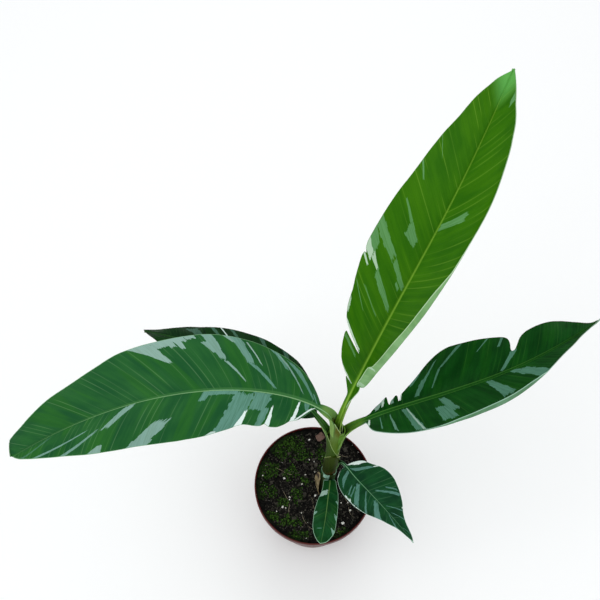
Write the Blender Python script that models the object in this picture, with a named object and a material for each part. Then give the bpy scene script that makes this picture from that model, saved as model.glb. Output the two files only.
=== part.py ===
"""A young variegated banana plant in a round nursery pot.

Six leaves spring from a short trunk of rolled leaf sheaths, which stands in a 12 cm pot of
potting mix. Units are metres, +Z is up, and the origin is the middle of the pot's flat base.
"""

import math

import bmesh
import bpy
import numpy as np
from mathutils import Vector

MM = 0.001

# The pot: a thin wall that widens to a collar under the rim
POT_HEIGHT = 105 * MM
RIM_RADIUS = 60 * MM
BASE_RADIUS = 43 * MM
COLLAR_DEPTH = 9 * MM
COLLAR_STEP = 2.2 * MM
WALL = 1.2 * MM
POT_SIDES = 48
DRAIN_RADIUS = 4.5 * MM
DRAIN_CIRCLE = 31 * MM
DRAIN_COUNT = 8

# The potting mix, with the plain hole that the trunk stands in
SOIL_LEVEL = 93 * MM
SOIL_LUMP = 1.3 * MM
STEM_SINK = 28 * MM

# Touching pieces keep this gap
GAP = 0.3 * MM

# The trunk: middle (x, y) and radius at each height, in millimetres
TRUNK_STATIONS = (60, 93, 140, 187, 225, 256)
TRUNK_X = (11.8, 12.2, 13.5, 14.9, 15.8, 16.3)
TRUNK_Y = (0.0, 0.0, 0.1, 0.2, 0.4, 0.6)
TRUNK_RADIUS = (6.2, 6.3, 5.9, 5.6, 5.2, 4.7)
TRUNK_SIDES = 20
TRUNK_RINGS = 26

# The outer sheaths stand out of the trunk by a lip, which ends a little below the leaf's root
# and slants down to the side away from the leaf
SHEATHED = ("leaf_low", "leaf_small", "leaf_back", "leaf_right")
SHEATH_LIP = 0.45 * MM
LIP_SOFTNESS = 5 * MM
LIP_DROP = 2 * MM
MOUTH_SLANT = 14 * MM

# The blades: their thickness, the rows of points along blade and petiole, how the rows crowd to
# the foot, and the share of the way from rib to margin at each point of a row
BLADE_THICKNESS = 0.8 * MM
BLADE_ROWS = 20
PETIOLE_ROWS = 7
ROW_CROWDING = 1.15
ACROSS = (0.38, 0.74, 0.88, 1.0)
LAST_ROW = 0.4
MARGIN_ROLL = (0.75, 1.0)
TEAR_EDGE = (0.4, 1.0)

# Half the rib's width from foot to tip in millimetres, and its largest share of a narrow blade
RIB_REACH = (1.9, 1.5, 0.9)
RIB_SHARE = 0.6

# The petiole lies round the trunk, leaves it and opens into the blade at these shares of its
# length. Its free part is a channel with a sloping floor and rising walls, in degrees.
LEAVES_TRUNK = (0.3, 0.6)
OPENS = (0.6, 1.0)
CHANNEL_FLOOR = 14
CHANNEL_WALL = 52
KEEL_AT_FOOT = 0.4

# The leaves, oldest first, in millimetres and degrees. A rib station is its distance from the
# leaf's root, the bearing it runs on (from +Y towards +X) and its climb above level. A reach
# list gives how far the blade's veins run out from the rib, at even steps from the blade's
# foot to its tip, and sweep is how far they lean forward. Fold, sag and curl bend the section:
# the slope beside the rib, its change out to the margin and the extra roll of the margin.
LEAVES = {
    "leaf_low": {
        "root": 138, "rows": 13,
        "rib": ((0, 172, 90), (11, 178, 74), (20, 187, 26), (37, 188, 1), (55, 190, -18), (76, 195, -35)),
        "petiole": 18, "girth": (4.0, 3.4, 2.6, 2.2), "keel": (0.9, 1.4, 1.8, 1.6, 1.2, 0.9),
        "bank": (0, 0), "sweep": (-12, 12, 28, 38, 45, 52), "ripple": (0.5, 3.0),
        "right": {"reach": (2.2, 7, 9, 11, 12, 11, 8.5, 5, 0), "fold": (10, 8, 6), "sag": (-14, -20, -16),
                  "curl": (0, 0)},
        "left": {"reach": (2.2, 9, 11, 12.5, 12.5, 11, 8.5, 5, 0), "fold": (10, 8, 6), "sag": (-14, -20, -16),
                 "curl": (0, 0)},
    },
    "leaf_small": {
        "root": 172, "rows": 14,
        "rib": ((0, 110, 90), (12, 128, 78), (25, 144, 26), (48, 139, 6), (77, 136, -13), (115, 135, -30)),
        "petiole": 26, "girth": (4.2, 3.0, 1.7, 1.7), "keel": (0.9, 1.6, 2.0, 1.7, 1.3, 0.9),
        "bank": (0, 0), "sweep": (-12, 12, 28, 38, 45, 52), "ripple": (0.8, 3.0),
        "right": {"reach": (1.7, 14, 18, 16, 12, 8, 5, 2.5, 0), "fold": (10, 8, 6), "sag": (-14, -20, -16),
                  "curl": (0, 0)},
        "left": {"reach": (1.7, 20, 25, 22, 16.5, 10.5, 6, 3, 0), "fold": (10, 8, 6), "sag": (-14, -20, -16),
                 "curl": (0, 0)},
    },
    "leaf_back": {
        "root": 210,
        "rib": ((0, -42, 90), (17, -50, 87), (43, -58, 64), (76, -58, 42), (123, -64, 15), (180, -66, -17),
                (248, -57, -38)),
        "petiole": 58, "girth": (5.0, 3.6, 2.6, 2.4), "keel": (0.9, 2.6, 3.2, 2.6, 1.9, 1.2),
        "bank": (-10, -10, -6), "sweep": (-8, 14, 28, 38, 45, 50, 55, 58), "ripple": (1.2, 4.0),
        "right": {"reach": (2.4, 17, 27, 29, 27, 23, 19, 14, 10, 6, 3, 0), "fold": (14, 12, 12, 10),
                  "sag": (-26, -30, -30, -20), "curl": (0, 0)},
        "left": {"reach": (2.4, 17, 27, 29, 28, 25, 21, 16, 11, 7, 3.5, 0), "fold": (14, 12, 12, 10),
                 "sag": (-26, -30, -30, -20), "curl": (0, 0)},
    },
    "leaf_right": {
        "root": 228,
        "rib": ((0, 76, 90), (16, 78, 81), (35, 80, 58), (65, 83, 38), (128, 79, 22), (197, 63, 0),
                (280, 48, -31)),
        "petiole": 52, "girth": (4.8, 3.6, 2.8, 2.6), "keel": (0.9, 2.6, 3.2, 2.7, 2.0, 1.2),
        "bank": (0, 0), "sweep": (-8, 14, 28, 38, 45, 50, 55, 58), "ripple": (1.5, 4.0),
        "right": {"reach": (2.6, 20, 30.5, 33, 31, 26, 20, 14.5, 9.5, 5, 2, 0), "fold": (26, 28, 36, 42),
                  "sag": (-10, -8, -6, -6), "curl": (0, 40, 50, 20)},
        "left": {"reach": (2.6, 7, 16, 31, 33, 29, 25, 22, 16.5, 9.5, 4, 0), "fold": (16, 14, 12, 10),
                 "sag": (-24, -26, -24, -20), "curl": (0, 0)},
        "tear": ("left", 0.535, 0.02, 0.48),
    },
    "leaf_left": {
        "root": 256.3, "offset": 4.3,
        "rib": ((0, -68, 90), (20, -70, 88), (42, -82, 57), (71, -87, 37), (132, -98, 16), (204, -103, -12),
                (301, -111, -28)),
        "petiole": 50, "girth": (5.6, 4.4, 3.2, 3.0), "keel": (1.0, 2.6, 3.4, 2.8, 2.0, 1.2),
        "bank": (8, 8, 4), "sweep": (-10, 12, 26, 36, 44, 50, 55, 58), "ripple": (1.6, 4.0),
        "right": {"reach": (3, 25, 38, 43, 42.5, 40, 35.5, 30.5, 25, 17, 9, 0), "fold": (16, 16, 14, 12),
                  "sag": (-34, -38, -36, -20), "curl": (0, 0)},
        "left": {"reach": (3, 21, 28, 32, 35, 34, 30, 26, 20, 14, 8, 0), "fold": (10, 8, 8, 8),
                 "sag": (-50, -56, -50, -30), "curl": (0, 0)},
    },
    "leaf_up": {
        "root": 256.3, "offset": 0.4, "hug": 60,
        "rib": ((0, 40, 88), (20, 44, 83), (62, 46, 74), (124, 43, 65), (196, 39, 54), (258, 32, 43),
                (323, 27, 38)),
        "petiole": 52, "girth": (2.6, 2.5, 2.4, 2.5), "keel": (3.2, 3.2, 3.2, 2.8, 2.0, 1.2),
        "bank": (0, 0), "sweep": (-8, 14, 30, 38, 45, 50, 55, 58), "ripple": (1.0, 4.0),
        "right": {"reach": (2.5, 9, 21, 28.5, 34.5, 37, 35.5, 31.5, 25.5, 17, 8.5, 0), "fold": (30, 30, 28, 26),
                  "sag": (22, 22, 22, 10), "curl": (10, 50, 55, 20)},
        "left": {"reach": (2.5, 20, 24, 29, 34, 35, 32, 27, 21.5, 15, 8, 0), "fold": (14, 12, 10, 8),
                 "sag": (-10, -16, -18, -10), "curl": (0, 0), "sweep": (40, 40, 40, 42, 46, 50, 55, 58)},
        "tear": ("left", 0.118, 0.009, 0.8),
    },
}
LEAF_COLOURS = {
    "leaf_up": (0.09, 0.26, 0.015),
    "leaf_left": (0.02, 0.13, 0.03),
    "leaf_right": (0.015, 0.12, 0.025),
    "leaf_back": (0.01, 0.07, 0.03),
    "leaf_small": (0.012, 0.11, 0.03),
    "leaf_low": (0.015, 0.12, 0.03),
}

# The strip of dried sheath at the trunk's foot
DRY_HEIGHT = 38 * MM
DRY_THICKNESS = 0.8 * MM
DRY_BEARING = -98
DRY_HALF_ANGLE = 42
DRY_NARROWING = 0.45
DRY_FLARE = 3.2 * MM
DRY_POINTS = 7


def clear_scene():
    for item in list(bpy.data.objects):
        bpy.data.objects.remove(item, do_unlink=True)


def finish(name, colour, roughness):
    """A Principled material."""
    material = bpy.data.materials.new(name)
    material.use_nodes = True
    shader = material.node_tree.nodes["Principled BSDF"]
    shader.inputs["Base Color"].default_value = (*colour, 1.0)
    shader.inputs["Roughness"].default_value = roughness
    shader.inputs["Metallic"].default_value = 0.0
    return material


def smooth_through(stations, values, x):
    """A smooth curve through values at unevenly spaced stations, read at x."""
    k = np.asarray(stations, float)
    v = np.asarray(values, float)
    x = np.clip(x, k[0], k[-1])
    i = np.clip(np.searchsorted(k, x, side="right") - 1, 0, len(k) - 2)
    step = np.diff(k)
    rate = np.diff(v) / step
    inner = (rate[:-1] * step[1:] + rate[1:] * step[:-1]) / (step[:-1] + step[1:])
    slope = np.concatenate([rate[:1], inner, rate[-1:]])
    t = (x - k[i]) / step[i]
    return (
        (1 + 2 * t) * (1 - t) ** 2 * v[i]
        + t * (1 - t) ** 2 * step[i] * slope[i]
        + t * t * (3 - 2 * t) * v[i + 1]
        + t * t * (t - 1) * step[i] * slope[i + 1]
    )


def even(values, share):
    """A smooth curve through evenly spaced values, read at a share from 0 to 1."""
    return smooth_through(np.linspace(0, 1, len(values)), values, share)


def soft_step(x):
    x = np.clip(x, 0, 1)
    return x * x * (3 - 2 * x)


def soft_between(ends, x):
    return soft_step((x - ends[0]) / (ends[1] - ends[0]))


def trunk_middle(height):
    """The trunk's middle at a height, as a point in metres."""
    at = height / MM
    x = smooth_through(TRUNK_STATIONS, TRUNK_X, at) * MM
    y = smooth_through(TRUNK_STATIONS, TRUNK_Y, at) * MM
    return Vector((x, y, height))


def compass(bearing):
    """The level direction on a bearing, from +Y towards +X."""
    return Vector((math.sin(math.radians(bearing)), math.cos(math.radians(bearing)), 0))


def add_object(name, bm, material):
    mesh = bpy.data.meshes.new(name)
    bm.to_mesh(mesh)
    bm.free()
    mesh.materials.append(material)
    body = bpy.data.objects.new(name, mesh)
    bpy.context.scene.collection.objects.link(body)
    mesh.shade_smooth()
    mesh.set_sharp_from_angle(angle=math.radians(35))
    return body


def add_side(bm, rings):
    """The side of a body through rings of equal count, and its loops of vertices."""
    loops = [[bm.verts.new(p) for p in ring] for ring in rings]
    for low, high in zip(loops[:-1], loops[1:]):
        for i in range(len(low)):
            j = (i + 1) % len(low)
            bm.faces.new((low[i], low[j], high[j]))
            bm.faces.new((low[i], high[j], high[i]))
    return loops


def add_loft(name, rings, material, start, end):
    """A closed body through rings, each end drawn to a middle point."""
    bm = bmesh.new()
    loops = add_side(bm, rings)
    for loop, middle in ((loops[0], start), (loops[-1], end)):
        point = bm.verts.new(middle)
        for i in range(len(loop)):
            bm.faces.new((loop[i], loop[(i + 1) % len(loop)], point))
    bmesh.ops.recalc_face_normals(bm, faces=bm.faces)
    return add_object(name, bm, material)


def circle(radius, height, sides, middle=(0.0, 0.0)):
    turns = [2 * math.pi * i / sides for i in range(sides)]
    return [(middle[0] + radius * math.cos(a), middle[1] + radius * math.sin(a), height) for a in turns]


def wall_radius(height):
    """The outer radius of the pot's tapered wall."""
    share = height / (POT_HEIGHT - COLLAR_DEPTH)
    return BASE_RADIUS + share * (RIM_RADIUS - COLLAR_STEP - BASE_RADIUS)


def add_pot():
    """A thin turned shell, cut by a ring of drainage holes."""
    collar = POT_HEIGHT - COLLAR_DEPTH
    lip = 0.5 * MM
    profile = [
        (BASE_RADIUS - 2 * lip, 0),
        (wall_radius(lip), 2 * lip),
        (wall_radius(collar / 2), collar / 2),
        (wall_radius(collar), collar),
        (RIM_RADIUS, collar + 2 * lip),
        (RIM_RADIUS, POT_HEIGHT - lip),
        (RIM_RADIUS - lip, POT_HEIGHT),
        (RIM_RADIUS - WALL, POT_HEIGHT),
        (RIM_RADIUS - WALL, collar + WALL),
        (wall_radius(collar) - WALL, collar),
        (wall_radius(collar / 2) - WALL, collar / 2),
        (wall_radius(WALL + 2 * lip) - WALL, WALL + 2 * lip),
        (wall_radius(WALL) - WALL - 2 * lip, WALL),
    ]
    rings = [circle(r, z, POT_SIDES) for r, z in profile]
    plastic = finish("pot plastic", (0.20, 0.055, 0.04), 0.45)
    pot = add_loft("pot", rings, plastic, start=(0, 0, 0), end=(0, 0, WALL))
    for i in range(DRAIN_COUNT):
        angle = 2 * math.pi * (i + 0.5) / DRAIN_COUNT
        place = (DRAIN_CIRCLE * math.cos(angle), DRAIN_CIRCLE * math.sin(angle), WALL / 2)
        bpy.ops.mesh.primitive_cylinder_add(vertices=12, radius=DRAIN_RADIUS, depth=6 * WALL, location=place)
        cutter = bpy.context.object
        cutter.name = f"drain_cutter_{i + 1}"
        cutter.hide_render = True
        cutter.display_type = "WIRE"
        cut = pot.modifiers.new(f"drain {i + 1}", "BOOLEAN")
        cut.operation = "DIFFERENCE"
        cut.solver = "EXACT"
        cut.object = cutter


def soil_height(x, y):
    """Low lumps in the surface of the potting mix."""
    a = math.sin(x / (9 * MM) + 0.7) * math.cos(y / (11 * MM) - 0.4)
    b = math.sin(x / (5 * MM) - y / (7 * MM) + 2.0)
    return SOIL_LEVEL + SOIL_LUMP * (0.65 * a + 0.35 * b)


def add_soil():
    """The filling of the pot: floor of the stem hole, its wall, the top, the side and the bottom."""
    hole = trunk_middle(SOIL_LEVEL)
    hole_radius = full_trunk_radius(SOIL_LEVEL) + GAP
    floor = SOIL_LEVEL - STEM_SINK
    edge = SOIL_LEVEL - 2 * MM
    edge_radius = wall_radius(edge) - WALL - GAP
    outer = circle(edge_radius, edge, POT_SIDES)
    inner = circle(hole_radius, 0, POT_SIDES, hole[:2])
    rings = [[(x, y, floor) for x, y, _ in inner]]
    for share in (0, 0.12, 0.25, 0.4, 0.56, 0.72, 0.88, 0.98):
        ring = []
        for near, far in zip(inner, outer):
            x = near[0] + share * (far[0] - near[0])
            y = near[1] + share * (far[1] - near[1])
            ring.append((x, y, soil_height(x, y)))
        rings.append(ring)
    rings.append(outer)
    bottom = WALL + GAP
    foot = bottom + 1 * MM
    rings.append(circle(wall_radius(foot) - WALL - GAP, foot, POT_SIDES))
    rings.append(circle(wall_radius(bottom) - WALL - 5 * GAP, bottom, POT_SIDES))
    mix = finish("potting mix", (0.035, 0.025, 0.018), 0.95)
    add_loft("soil", rings, mix, start=(hole[0], hole[1], floor), end=(0, 0, bottom))


def core_radius(height):
    return smooth_through(TRUNK_STATIONS, TRUNK_RADIUS, height / MM) * MM


def full_trunk_radius(height):
    """The trunk's radius low down, where every outer sheath goes all the way round."""
    return core_radius(height) + len(SHEATHED) * SHEATH_LIP


def trunk_radius(bearing, height):
    """The trunk's radius with the outer sheaths that reach up to this place."""
    radius = core_radius(height)
    for leaf in SHEATHED:
        top = LEAVES[leaf]["root"] * MM - LIP_DROP
        facing = LEAVES[leaf]["rib"][0][1]
        away = 0.5 - 0.5 * math.cos(math.radians(bearing - facing))
        radius += SHEATH_LIP * soft_step((top - MOUTH_SLANT * away - height) / LIP_SOFTNESS)
    return radius


def root_offset(leaf):
    """How far in front of the trunk's middle the leaf's inner face starts, in millimetres."""
    seat = trunk_radius(leaf["rib"][0][1], leaf["root"] * MM) + 2 * GAP
    return leaf.get("offset", seat / MM)


def add_pseudostem():
    """The rolled leaf sheaths, from the floor of the stem hole to the crown."""
    foot = SOIL_LEVEL - STEM_SINK + GAP
    top = TRUNK_STATIONS[-1] * MM
    rings = []
    for k in range(TRUNK_RINGS):
        height = foot + (top - foot) * k / (TRUNK_RINGS - 1)
        middle = trunk_middle(height)
        ring = []
        for i in range(TRUNK_SIDES):
            bearing = 360 * i / TRUNK_SIDES
            ring.append(middle + compass(bearing) * trunk_radius(bearing, height))
        rings.append(ring)
    sheath = finish("sheath", (0.16, 0.27, 0.05), 0.5)
    add_loft("pseudostem", rings, sheath, start=trunk_middle(foot), end=trunk_middle(top))


def rib_path(leaf):
    """Points along the leaf's rib, a step apart, from its bearing and climb."""
    distance, bearing, climb = np.array(leaf["rib"], float).T
    step = 1.0
    u = np.arange(0, distance[-1] + step, step)
    middle = u[:-1] + step / 2
    b = np.radians(smooth_through(distance, bearing, middle))
    c = np.radians(smooth_through(distance, climb, middle))
    run = np.stack([np.sin(b) * np.cos(c), np.cos(b) * np.cos(c), np.sin(c)], 1) * step * MM
    root = trunk_middle(leaf["root"] * MM) + compass(bearing[0]) * root_offset(leaf) * MM
    return u, np.vstack([root, np.array(root) + np.cumsum(run, 0)])


def rib_frame(leaf, path, u):
    """The rib's point at distance u, with the directions to the right and up from the blade."""
    distance, bearing, climb = np.array(leaf["rib"], float).T
    u = min(u, distance[-1])
    point = Vector([np.interp(u, path[0], path[1][:, k]) for k in range(3)])
    b = math.radians(smooth_through(distance, bearing, u))
    c = math.radians(smooth_through(distance, climb, u))
    share = max(0.0, (u - leaf["petiole"]) / (distance[-1] - leaf["petiole"]))
    bank = math.radians(even(leaf["bank"], share))
    ahead = Vector((math.sin(b) * math.cos(c), math.cos(b) * math.cos(c), math.sin(c)))
    level = Vector((math.cos(b), -math.sin(b), 0))
    above = level.cross(ahead)
    right = level * math.cos(bank) + above * math.sin(bank)
    up = above * math.cos(bank) - level * math.sin(bank)
    return point, right, up


def section(fold, sag, curl, share, steps=24):
    """How far out and up the blade's section is at a share of its run, and its slope there."""
    t = (np.arange(steps) + 0.5) / steps
    slope = np.radians(fold + sag * t + curl * soft_between(MARGIN_ROLL, t))
    out = np.concatenate([[0], np.cumsum(np.cos(slope))]) / steps
    up = np.concatenate([[0], np.cumsum(np.sin(slope))]) / steps
    at = np.linspace(0, 1, steps + 1)
    tilt = math.radians(fold + sag * share + curl * soft_between(MARGIN_ROLL, share))
    return np.interp(share, at, out), np.interp(share, at, up), tilt


def tear_depth(leaf, side, share):
    """The share of the blade that a tear takes away from its margin."""
    if "tear" not in leaf or leaf["tear"][0] != side:
        return 0.0
    _, place, half_width, depth = leaf["tear"]
    return depth * (1 - soft_between(TEAR_EDGE, abs(share - place) / half_width))


def leaf_row(leaf, path, u):
    """One row of the leaf: its top points from margin to margin, and the points below them."""
    length = leaf["rib"][-1][0]
    foot = leaf["petiole"]
    along = (u - foot) / (length - foot)
    stalk = np.clip(u / foot, 0, 1)
    keel = even(leaf["keel"], KEEL_AT_FOOT * stalk + (1 - KEEL_AT_FOOT) * max(0.0, along))
    top, bottom = [], []
    for side, sign in (("left", -1), ("right", 1)):
        shape = leaf[side]
        lean = shape.get("sweep", leaf["sweep"])
        if along < 0:
            reach = even(leaf["girth"], stalk)
            rib_reach = RIB_SHARE * reach
            hug = leaf.get("hug", math.degrees(reach / root_offset(leaf)))
            leaving = soft_between(LEAVES_TRUNK, stalk)
            opening = soft_between(OPENS, stalk)
            fold = CHANNEL_FLOOR * leaving * (1 - opening) + shape["fold"][0] * opening
            sag = hug + (CHANNEL_WALL - hug) * leaving
            sag += (shape["sag"][0] - sag) * opening
            curl, sweep, ripple = 0.0, lean[0] * opening, 0.0
        else:
            reach = even(shape["reach"], along) * (1 - tear_depth(leaf, side, along))
            rib_reach = min(RIB_SHARE * reach, even(RIB_REACH, along))
            fold, sag, curl = (even(shape[k], along) for k in ("fold", "sag", "curl"))
            sweep = even(lean, along)
            height, waves = leaf["ripple"]
            ripple = height * math.sin(2 * math.pi * waves * along + sign) * soft_step(along / 0.15)
        arcs = [0.5 * rib_reach, rib_reach] + [rib_reach + (reach - rib_reach) * k for k in ACROSS]
        if side == "right":
            arcs.insert(0, 0.0)
        else:
            arcs.reverse()
        for arc in arcs:
            share = arc / reach
            out, rise, tilt = section(fold, sag, curl, share)
            lift = rise * reach + ripple * share * share
            point, right, up = rib_frame(leaf, path, u + arc * math.tan(math.radians(sweep)))
            place = point + (right * sign * out * reach + up * lift) * MM
            if arc == 0:
                tilt = 0.0
            normal = up * math.cos(tilt) - right * sign * math.sin(tilt)
            edge = BLADE_THICKNESS / MM
            depth = edge + max(0.0, keel - edge) * max(0.0, 1 - (arc / rib_reach) ** 2)
            top.append(place)
            bottom.append(place - normal * depth * MM)
    return top, bottom


def blade_stations(leaf):
    """Even stations along the blade, with more of them where it is torn."""
    count = leaf.get("rows", BLADE_ROWS)
    stations = [(k / count) ** ROW_CROWDING for k in range(count)] + [1 - LAST_ROW / count]
    if "tear" in leaf:
        _, place, half_width, _ = leaf["tear"]
        stations = [s for s in stations if abs(s - place) > 1.5 * half_width]
        stations += [place + half_width * k for k in (-1, -0.4, 0.4, 1)]
    return sorted(stations)


def add_leaf(name, material):
    """Petiole, rib and blade as one closed body, split into the same triangles on both faces."""
    leaf = LEAVES[name]
    path = rib_path(leaf)
    foot = leaf["petiole"]
    length = leaf["rib"][-1][0]
    places = [foot * k / PETIOLE_ROWS for k in range(PETIOLE_ROWS)]
    places += [foot + s * (length - foot) for s in blade_stations(leaf)]
    bm = bmesh.new()
    rows = []
    for u in places:
        rows.append([[bm.verts.new(p) for p in line] for line in leaf_row(leaf, path, u)])
    for (top, bottom), (next_top, next_bottom) in zip(rows[:-1], rows[1:]):
        for i in range(len(top) - 1):
            for low, high in ((top, next_top), (bottom, next_bottom)):
                bm.faces.new((low[i], low[i + 1], high[i + 1]))
                bm.faces.new((low[i], high[i + 1], high[i]))
        for i in (0, -1):
            bm.faces.new((top[i], bottom[i], next_bottom[i]))
            bm.faces.new((top[i], next_bottom[i], next_top[i]))
    root_top, root_bottom = rows[0]
    end_top, end_bottom = rows[-1]
    tip = bm.verts.new(rib_frame(leaf, path, length)[0])
    for i in range(len(root_top) - 1):
        bm.faces.new((root_top[i], root_top[i + 1], root_bottom[i + 1]))
        bm.faces.new((root_top[i], root_bottom[i + 1], root_bottom[i]))
        bm.faces.new((end_top[i], end_top[i + 1], tip))
        bm.faces.new((end_bottom[i], end_bottom[i + 1], tip))
    for i in (0, -1):
        bm.faces.new((end_top[i], end_bottom[i], tip))
    bmesh.ops.recalc_face_normals(bm, faces=bm.faces)
    add_object(name, bm, material)


def add_dry_sheath():
    """A papery strip against the trunk's foot, its edges flaring away."""
    foot = SOIL_LEVEL + SOIL_LUMP + GAP
    rings = []
    for share in np.linspace(0, 1, DRY_POINTS):
        height = foot + DRY_HEIGHT * share
        middle = trunk_middle(height)
        inner, outer = [], []
        for turn in np.linspace(-1, 1, DRY_POINTS):
            bearing = DRY_BEARING + DRY_HALF_ANGLE * turn * (1 - DRY_NARROWING * share)
            flare = DRY_FLARE * turn * turn * (0.4 + 0.6 * math.sin(math.pi * share))
            radius = full_trunk_radius(height) + GAP + flare
            inner.append(middle + compass(bearing) * radius)
            outer.append(middle + compass(bearing) * (radius + DRY_THICKNESS))
        rings.append(inner + outer[::-1])
    bm = bmesh.new()
    loops = add_side(bm, rings)
    for loop in (loops[0], loops[-1]):
        for i in range(DRY_POINTS - 1):
            j = len(loop) - 1 - i
            bm.faces.new((loop[i], loop[i + 1], loop[j - 1]))
            bm.faces.new((loop[i], loop[j - 1], loop[j]))
    bmesh.ops.recalc_face_normals(bm, faces=bm.faces)
    add_object("dry_sheath", bm, finish("dried sheath", (0.42, 0.27, 0.12), 0.85))


clear_scene()
add_pot()
add_soil()
add_pseudostem()
for leaf_name, leaf_colour in LEAF_COLOURS.items():
    add_leaf(leaf_name, finish(leaf_name.replace("_", " "), leaf_colour, 0.4))
add_dry_sheath()
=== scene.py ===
import math
import random
from functools import partial

import bpy
import numpy as np
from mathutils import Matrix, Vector, noise


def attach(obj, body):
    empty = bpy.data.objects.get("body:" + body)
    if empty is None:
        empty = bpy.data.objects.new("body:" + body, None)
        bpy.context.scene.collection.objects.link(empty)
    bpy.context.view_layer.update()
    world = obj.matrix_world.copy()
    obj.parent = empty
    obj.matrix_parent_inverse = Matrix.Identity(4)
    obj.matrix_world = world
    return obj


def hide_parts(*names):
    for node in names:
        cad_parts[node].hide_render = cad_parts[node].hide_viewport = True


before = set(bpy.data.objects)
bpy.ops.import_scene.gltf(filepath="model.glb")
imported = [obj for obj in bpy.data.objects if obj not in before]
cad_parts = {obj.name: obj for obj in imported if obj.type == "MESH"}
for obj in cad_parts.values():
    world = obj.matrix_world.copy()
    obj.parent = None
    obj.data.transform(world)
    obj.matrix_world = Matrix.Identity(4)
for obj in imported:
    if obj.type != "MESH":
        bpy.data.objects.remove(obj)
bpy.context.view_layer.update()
MM = 0.001


# The pot is a 12 cm nursery pot, formed in one piece from thin reddish brown plastic: a plain
# tapered wall, a stiff collar under the rolled rim, a stepped foot and eight drain holes.
def clear_selection():
    """Nothing stays selected, so that the next operator acts on the new piece alone."""
    if bpy.context.mode != "OBJECT":
        bpy.ops.object.mode_set(mode="OBJECT")
    bpy.ops.object.select_all(action="DESELECT")


def choose(*pieces):
    """Select these pieces, with the first one active."""
    clear_selection()
    for piece in pieces:
        piece.select_set(True)
    bpy.context.view_layer.objects.active = pieces[0]


def colour(red, green, blue):
    """A colour from 0 to 255 as it shows on a screen, as the shader's linear colour."""
    shares = [c / 255 for c in (red, green, blue)]
    return (*(c / 12.92 if c <= 10 / 255 else ((c + 0.055) / 1.055) ** 2.4 for c in shares), 1.0)


def plug(socket, value):
    """Link a socket to another, or set its value."""
    if isinstance(value, bpy.types.NodeSocket):
        socket.id_data.links.new(value, socket)
    else:
        socket.default_value = value


def new_node(kind, *values):
    """A node in the tree that these values' sockets belong to."""
    tree = next(value.id_data for value in values if isinstance(value, bpy.types.NodeSocket))
    return tree.nodes.new("ShaderNode" + kind)


def maths(operation, *values, clamp=False):
    """A Math node on numbers and sockets."""
    node = new_node("Math", *values)
    node.operation = operation
    node.use_clamp = clamp
    for socket, value in zip(node.inputs, values):
        plug(socket, value)
    return node.outputs[0]


times, times_plus, plus, minus, over, size_of = (
    partial(maths, operation)
    for operation in ("MULTIPLY", "MULTIPLY_ADD", "ADD", "SUBTRACT", "DIVIDE", "ABSOLUTE")
)


def blend(share, first, second):
    """The first colour, with this share of the second."""
    node = new_node("Mix", share, first, second)
    node.data_type = "RGBA"
    for k, value in ((0, share), (6, first), (7, second)):
        plug(node.inputs[k], value)
    return node.outputs[2]


def rising(value, low, high):
    """0 below low, 1 above high and smooth between."""
    node = new_node("MapRange", value)
    node.interpolation_type = "SMOOTHSTEP"
    for name, given in (("Value", value), ("From Min", low), ("From Max", high)):
        plug(node.inputs[name], given)
    return node.outputs["Result"]


def speckle(place, scale, detail=2.0, roughness=0.5):
    """Fractal noise at a place."""
    node = new_node("TexNoise", place)
    for name, value in (("Vector", place), ("Scale", scale), ("Detail", detail), ("Roughness", roughness)):
        plug(node.inputs[name], value)
    return node.outputs["Fac"]


def object_place(tree, stretch=(1, 1, 1)):
    """Object coordinates, with each axis scaled."""
    coordinates = tree.nodes.new("ShaderNodeTexCoord")
    mapping = tree.nodes.new("ShaderNodeMapping")
    plug(mapping.inputs["Scale"], stretch)
    plug(mapping.inputs["Vector"], coordinates.outputs["Object"])
    return mapping.outputs["Vector"]


def raised(height, distance, strength=1.0):
    """The normal of a surface that this height raises, by up to a distance in metres."""
    node = new_node("Bump", height)
    for name, value in (("Strength", strength), ("Distance", distance), ("Height", height)):
        plug(node.inputs[name], value)
    return node.outputs["Normal"]


def new_material(name):
    """A material, its node tree and its shader."""
    material = bpy.data.materials.new(name)
    material.use_nodes = True
    return material, material.node_tree, material.node_tree.nodes["Principled BSDF"]


def coat(shader, shade, roughness, normal=None, gloss=None):
    """Give a material its colour, roughness, relief and gloss."""
    looks = {"Base Color": shade, "Roughness": roughness, "Normal": normal, "Specular IOR Level": gloss}
    for name, value in looks.items():
        if value is not None:
            plug(shader.inputs[name], value)


def clad(piece, *materials):
    """Give a piece these materials alone."""
    piece.data.materials.clear()
    for material in materials:
        piece.data.materials.append(material)


def finish_piece(piece, name, slot, *nodes):
    """Name a piece, let it ride on the plant's one body and hide the imported parts that it stands for."""
    piece.name = name
    piece.data.name = name
    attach(piece, "root")
    if nodes:
        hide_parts(*nodes)


POT_PROFILE = (  # radius and height in millimetres, up the outside and down the inside
    (41.0, 0.0), (42.3, 0.25), (42.9, 0.9), (43.2, 2.0), (43.8, 6.0), (44.4, 7.0), (48.0, 32.0),
    (53.0, 65.0), (57.7, 95.4), (58.3, 95.8), (59.3, 96.2), (59.8, 96.8), (60.0, 97.6), (60.0, 103.6),
    (59.9, 104.4), (59.5, 104.9), (59.0, 105.0), (58.7, 104.7), (58.6, 104.0), (58.6, 97.8), (58.1, 97.0),
    (57.0, 96.4), (56.5, 95.6), (51.9, 65.0), (46.9, 32.0), (42.3, 2.6), (41.6, 1.6), (40.4, 1.2),
)
DRAINS, DRAIN_CIRCLE, DRAIN_RADIUS = 8, 31 * MM, 4.5 * MM
BASE_MIDDLE, BASE_TOP = 0.6 * MM, 0.9 * MM
POT_SIDES, DRILL_SIDES, DRILL_LENGTH = 160, 28, 8 * MM

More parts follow.
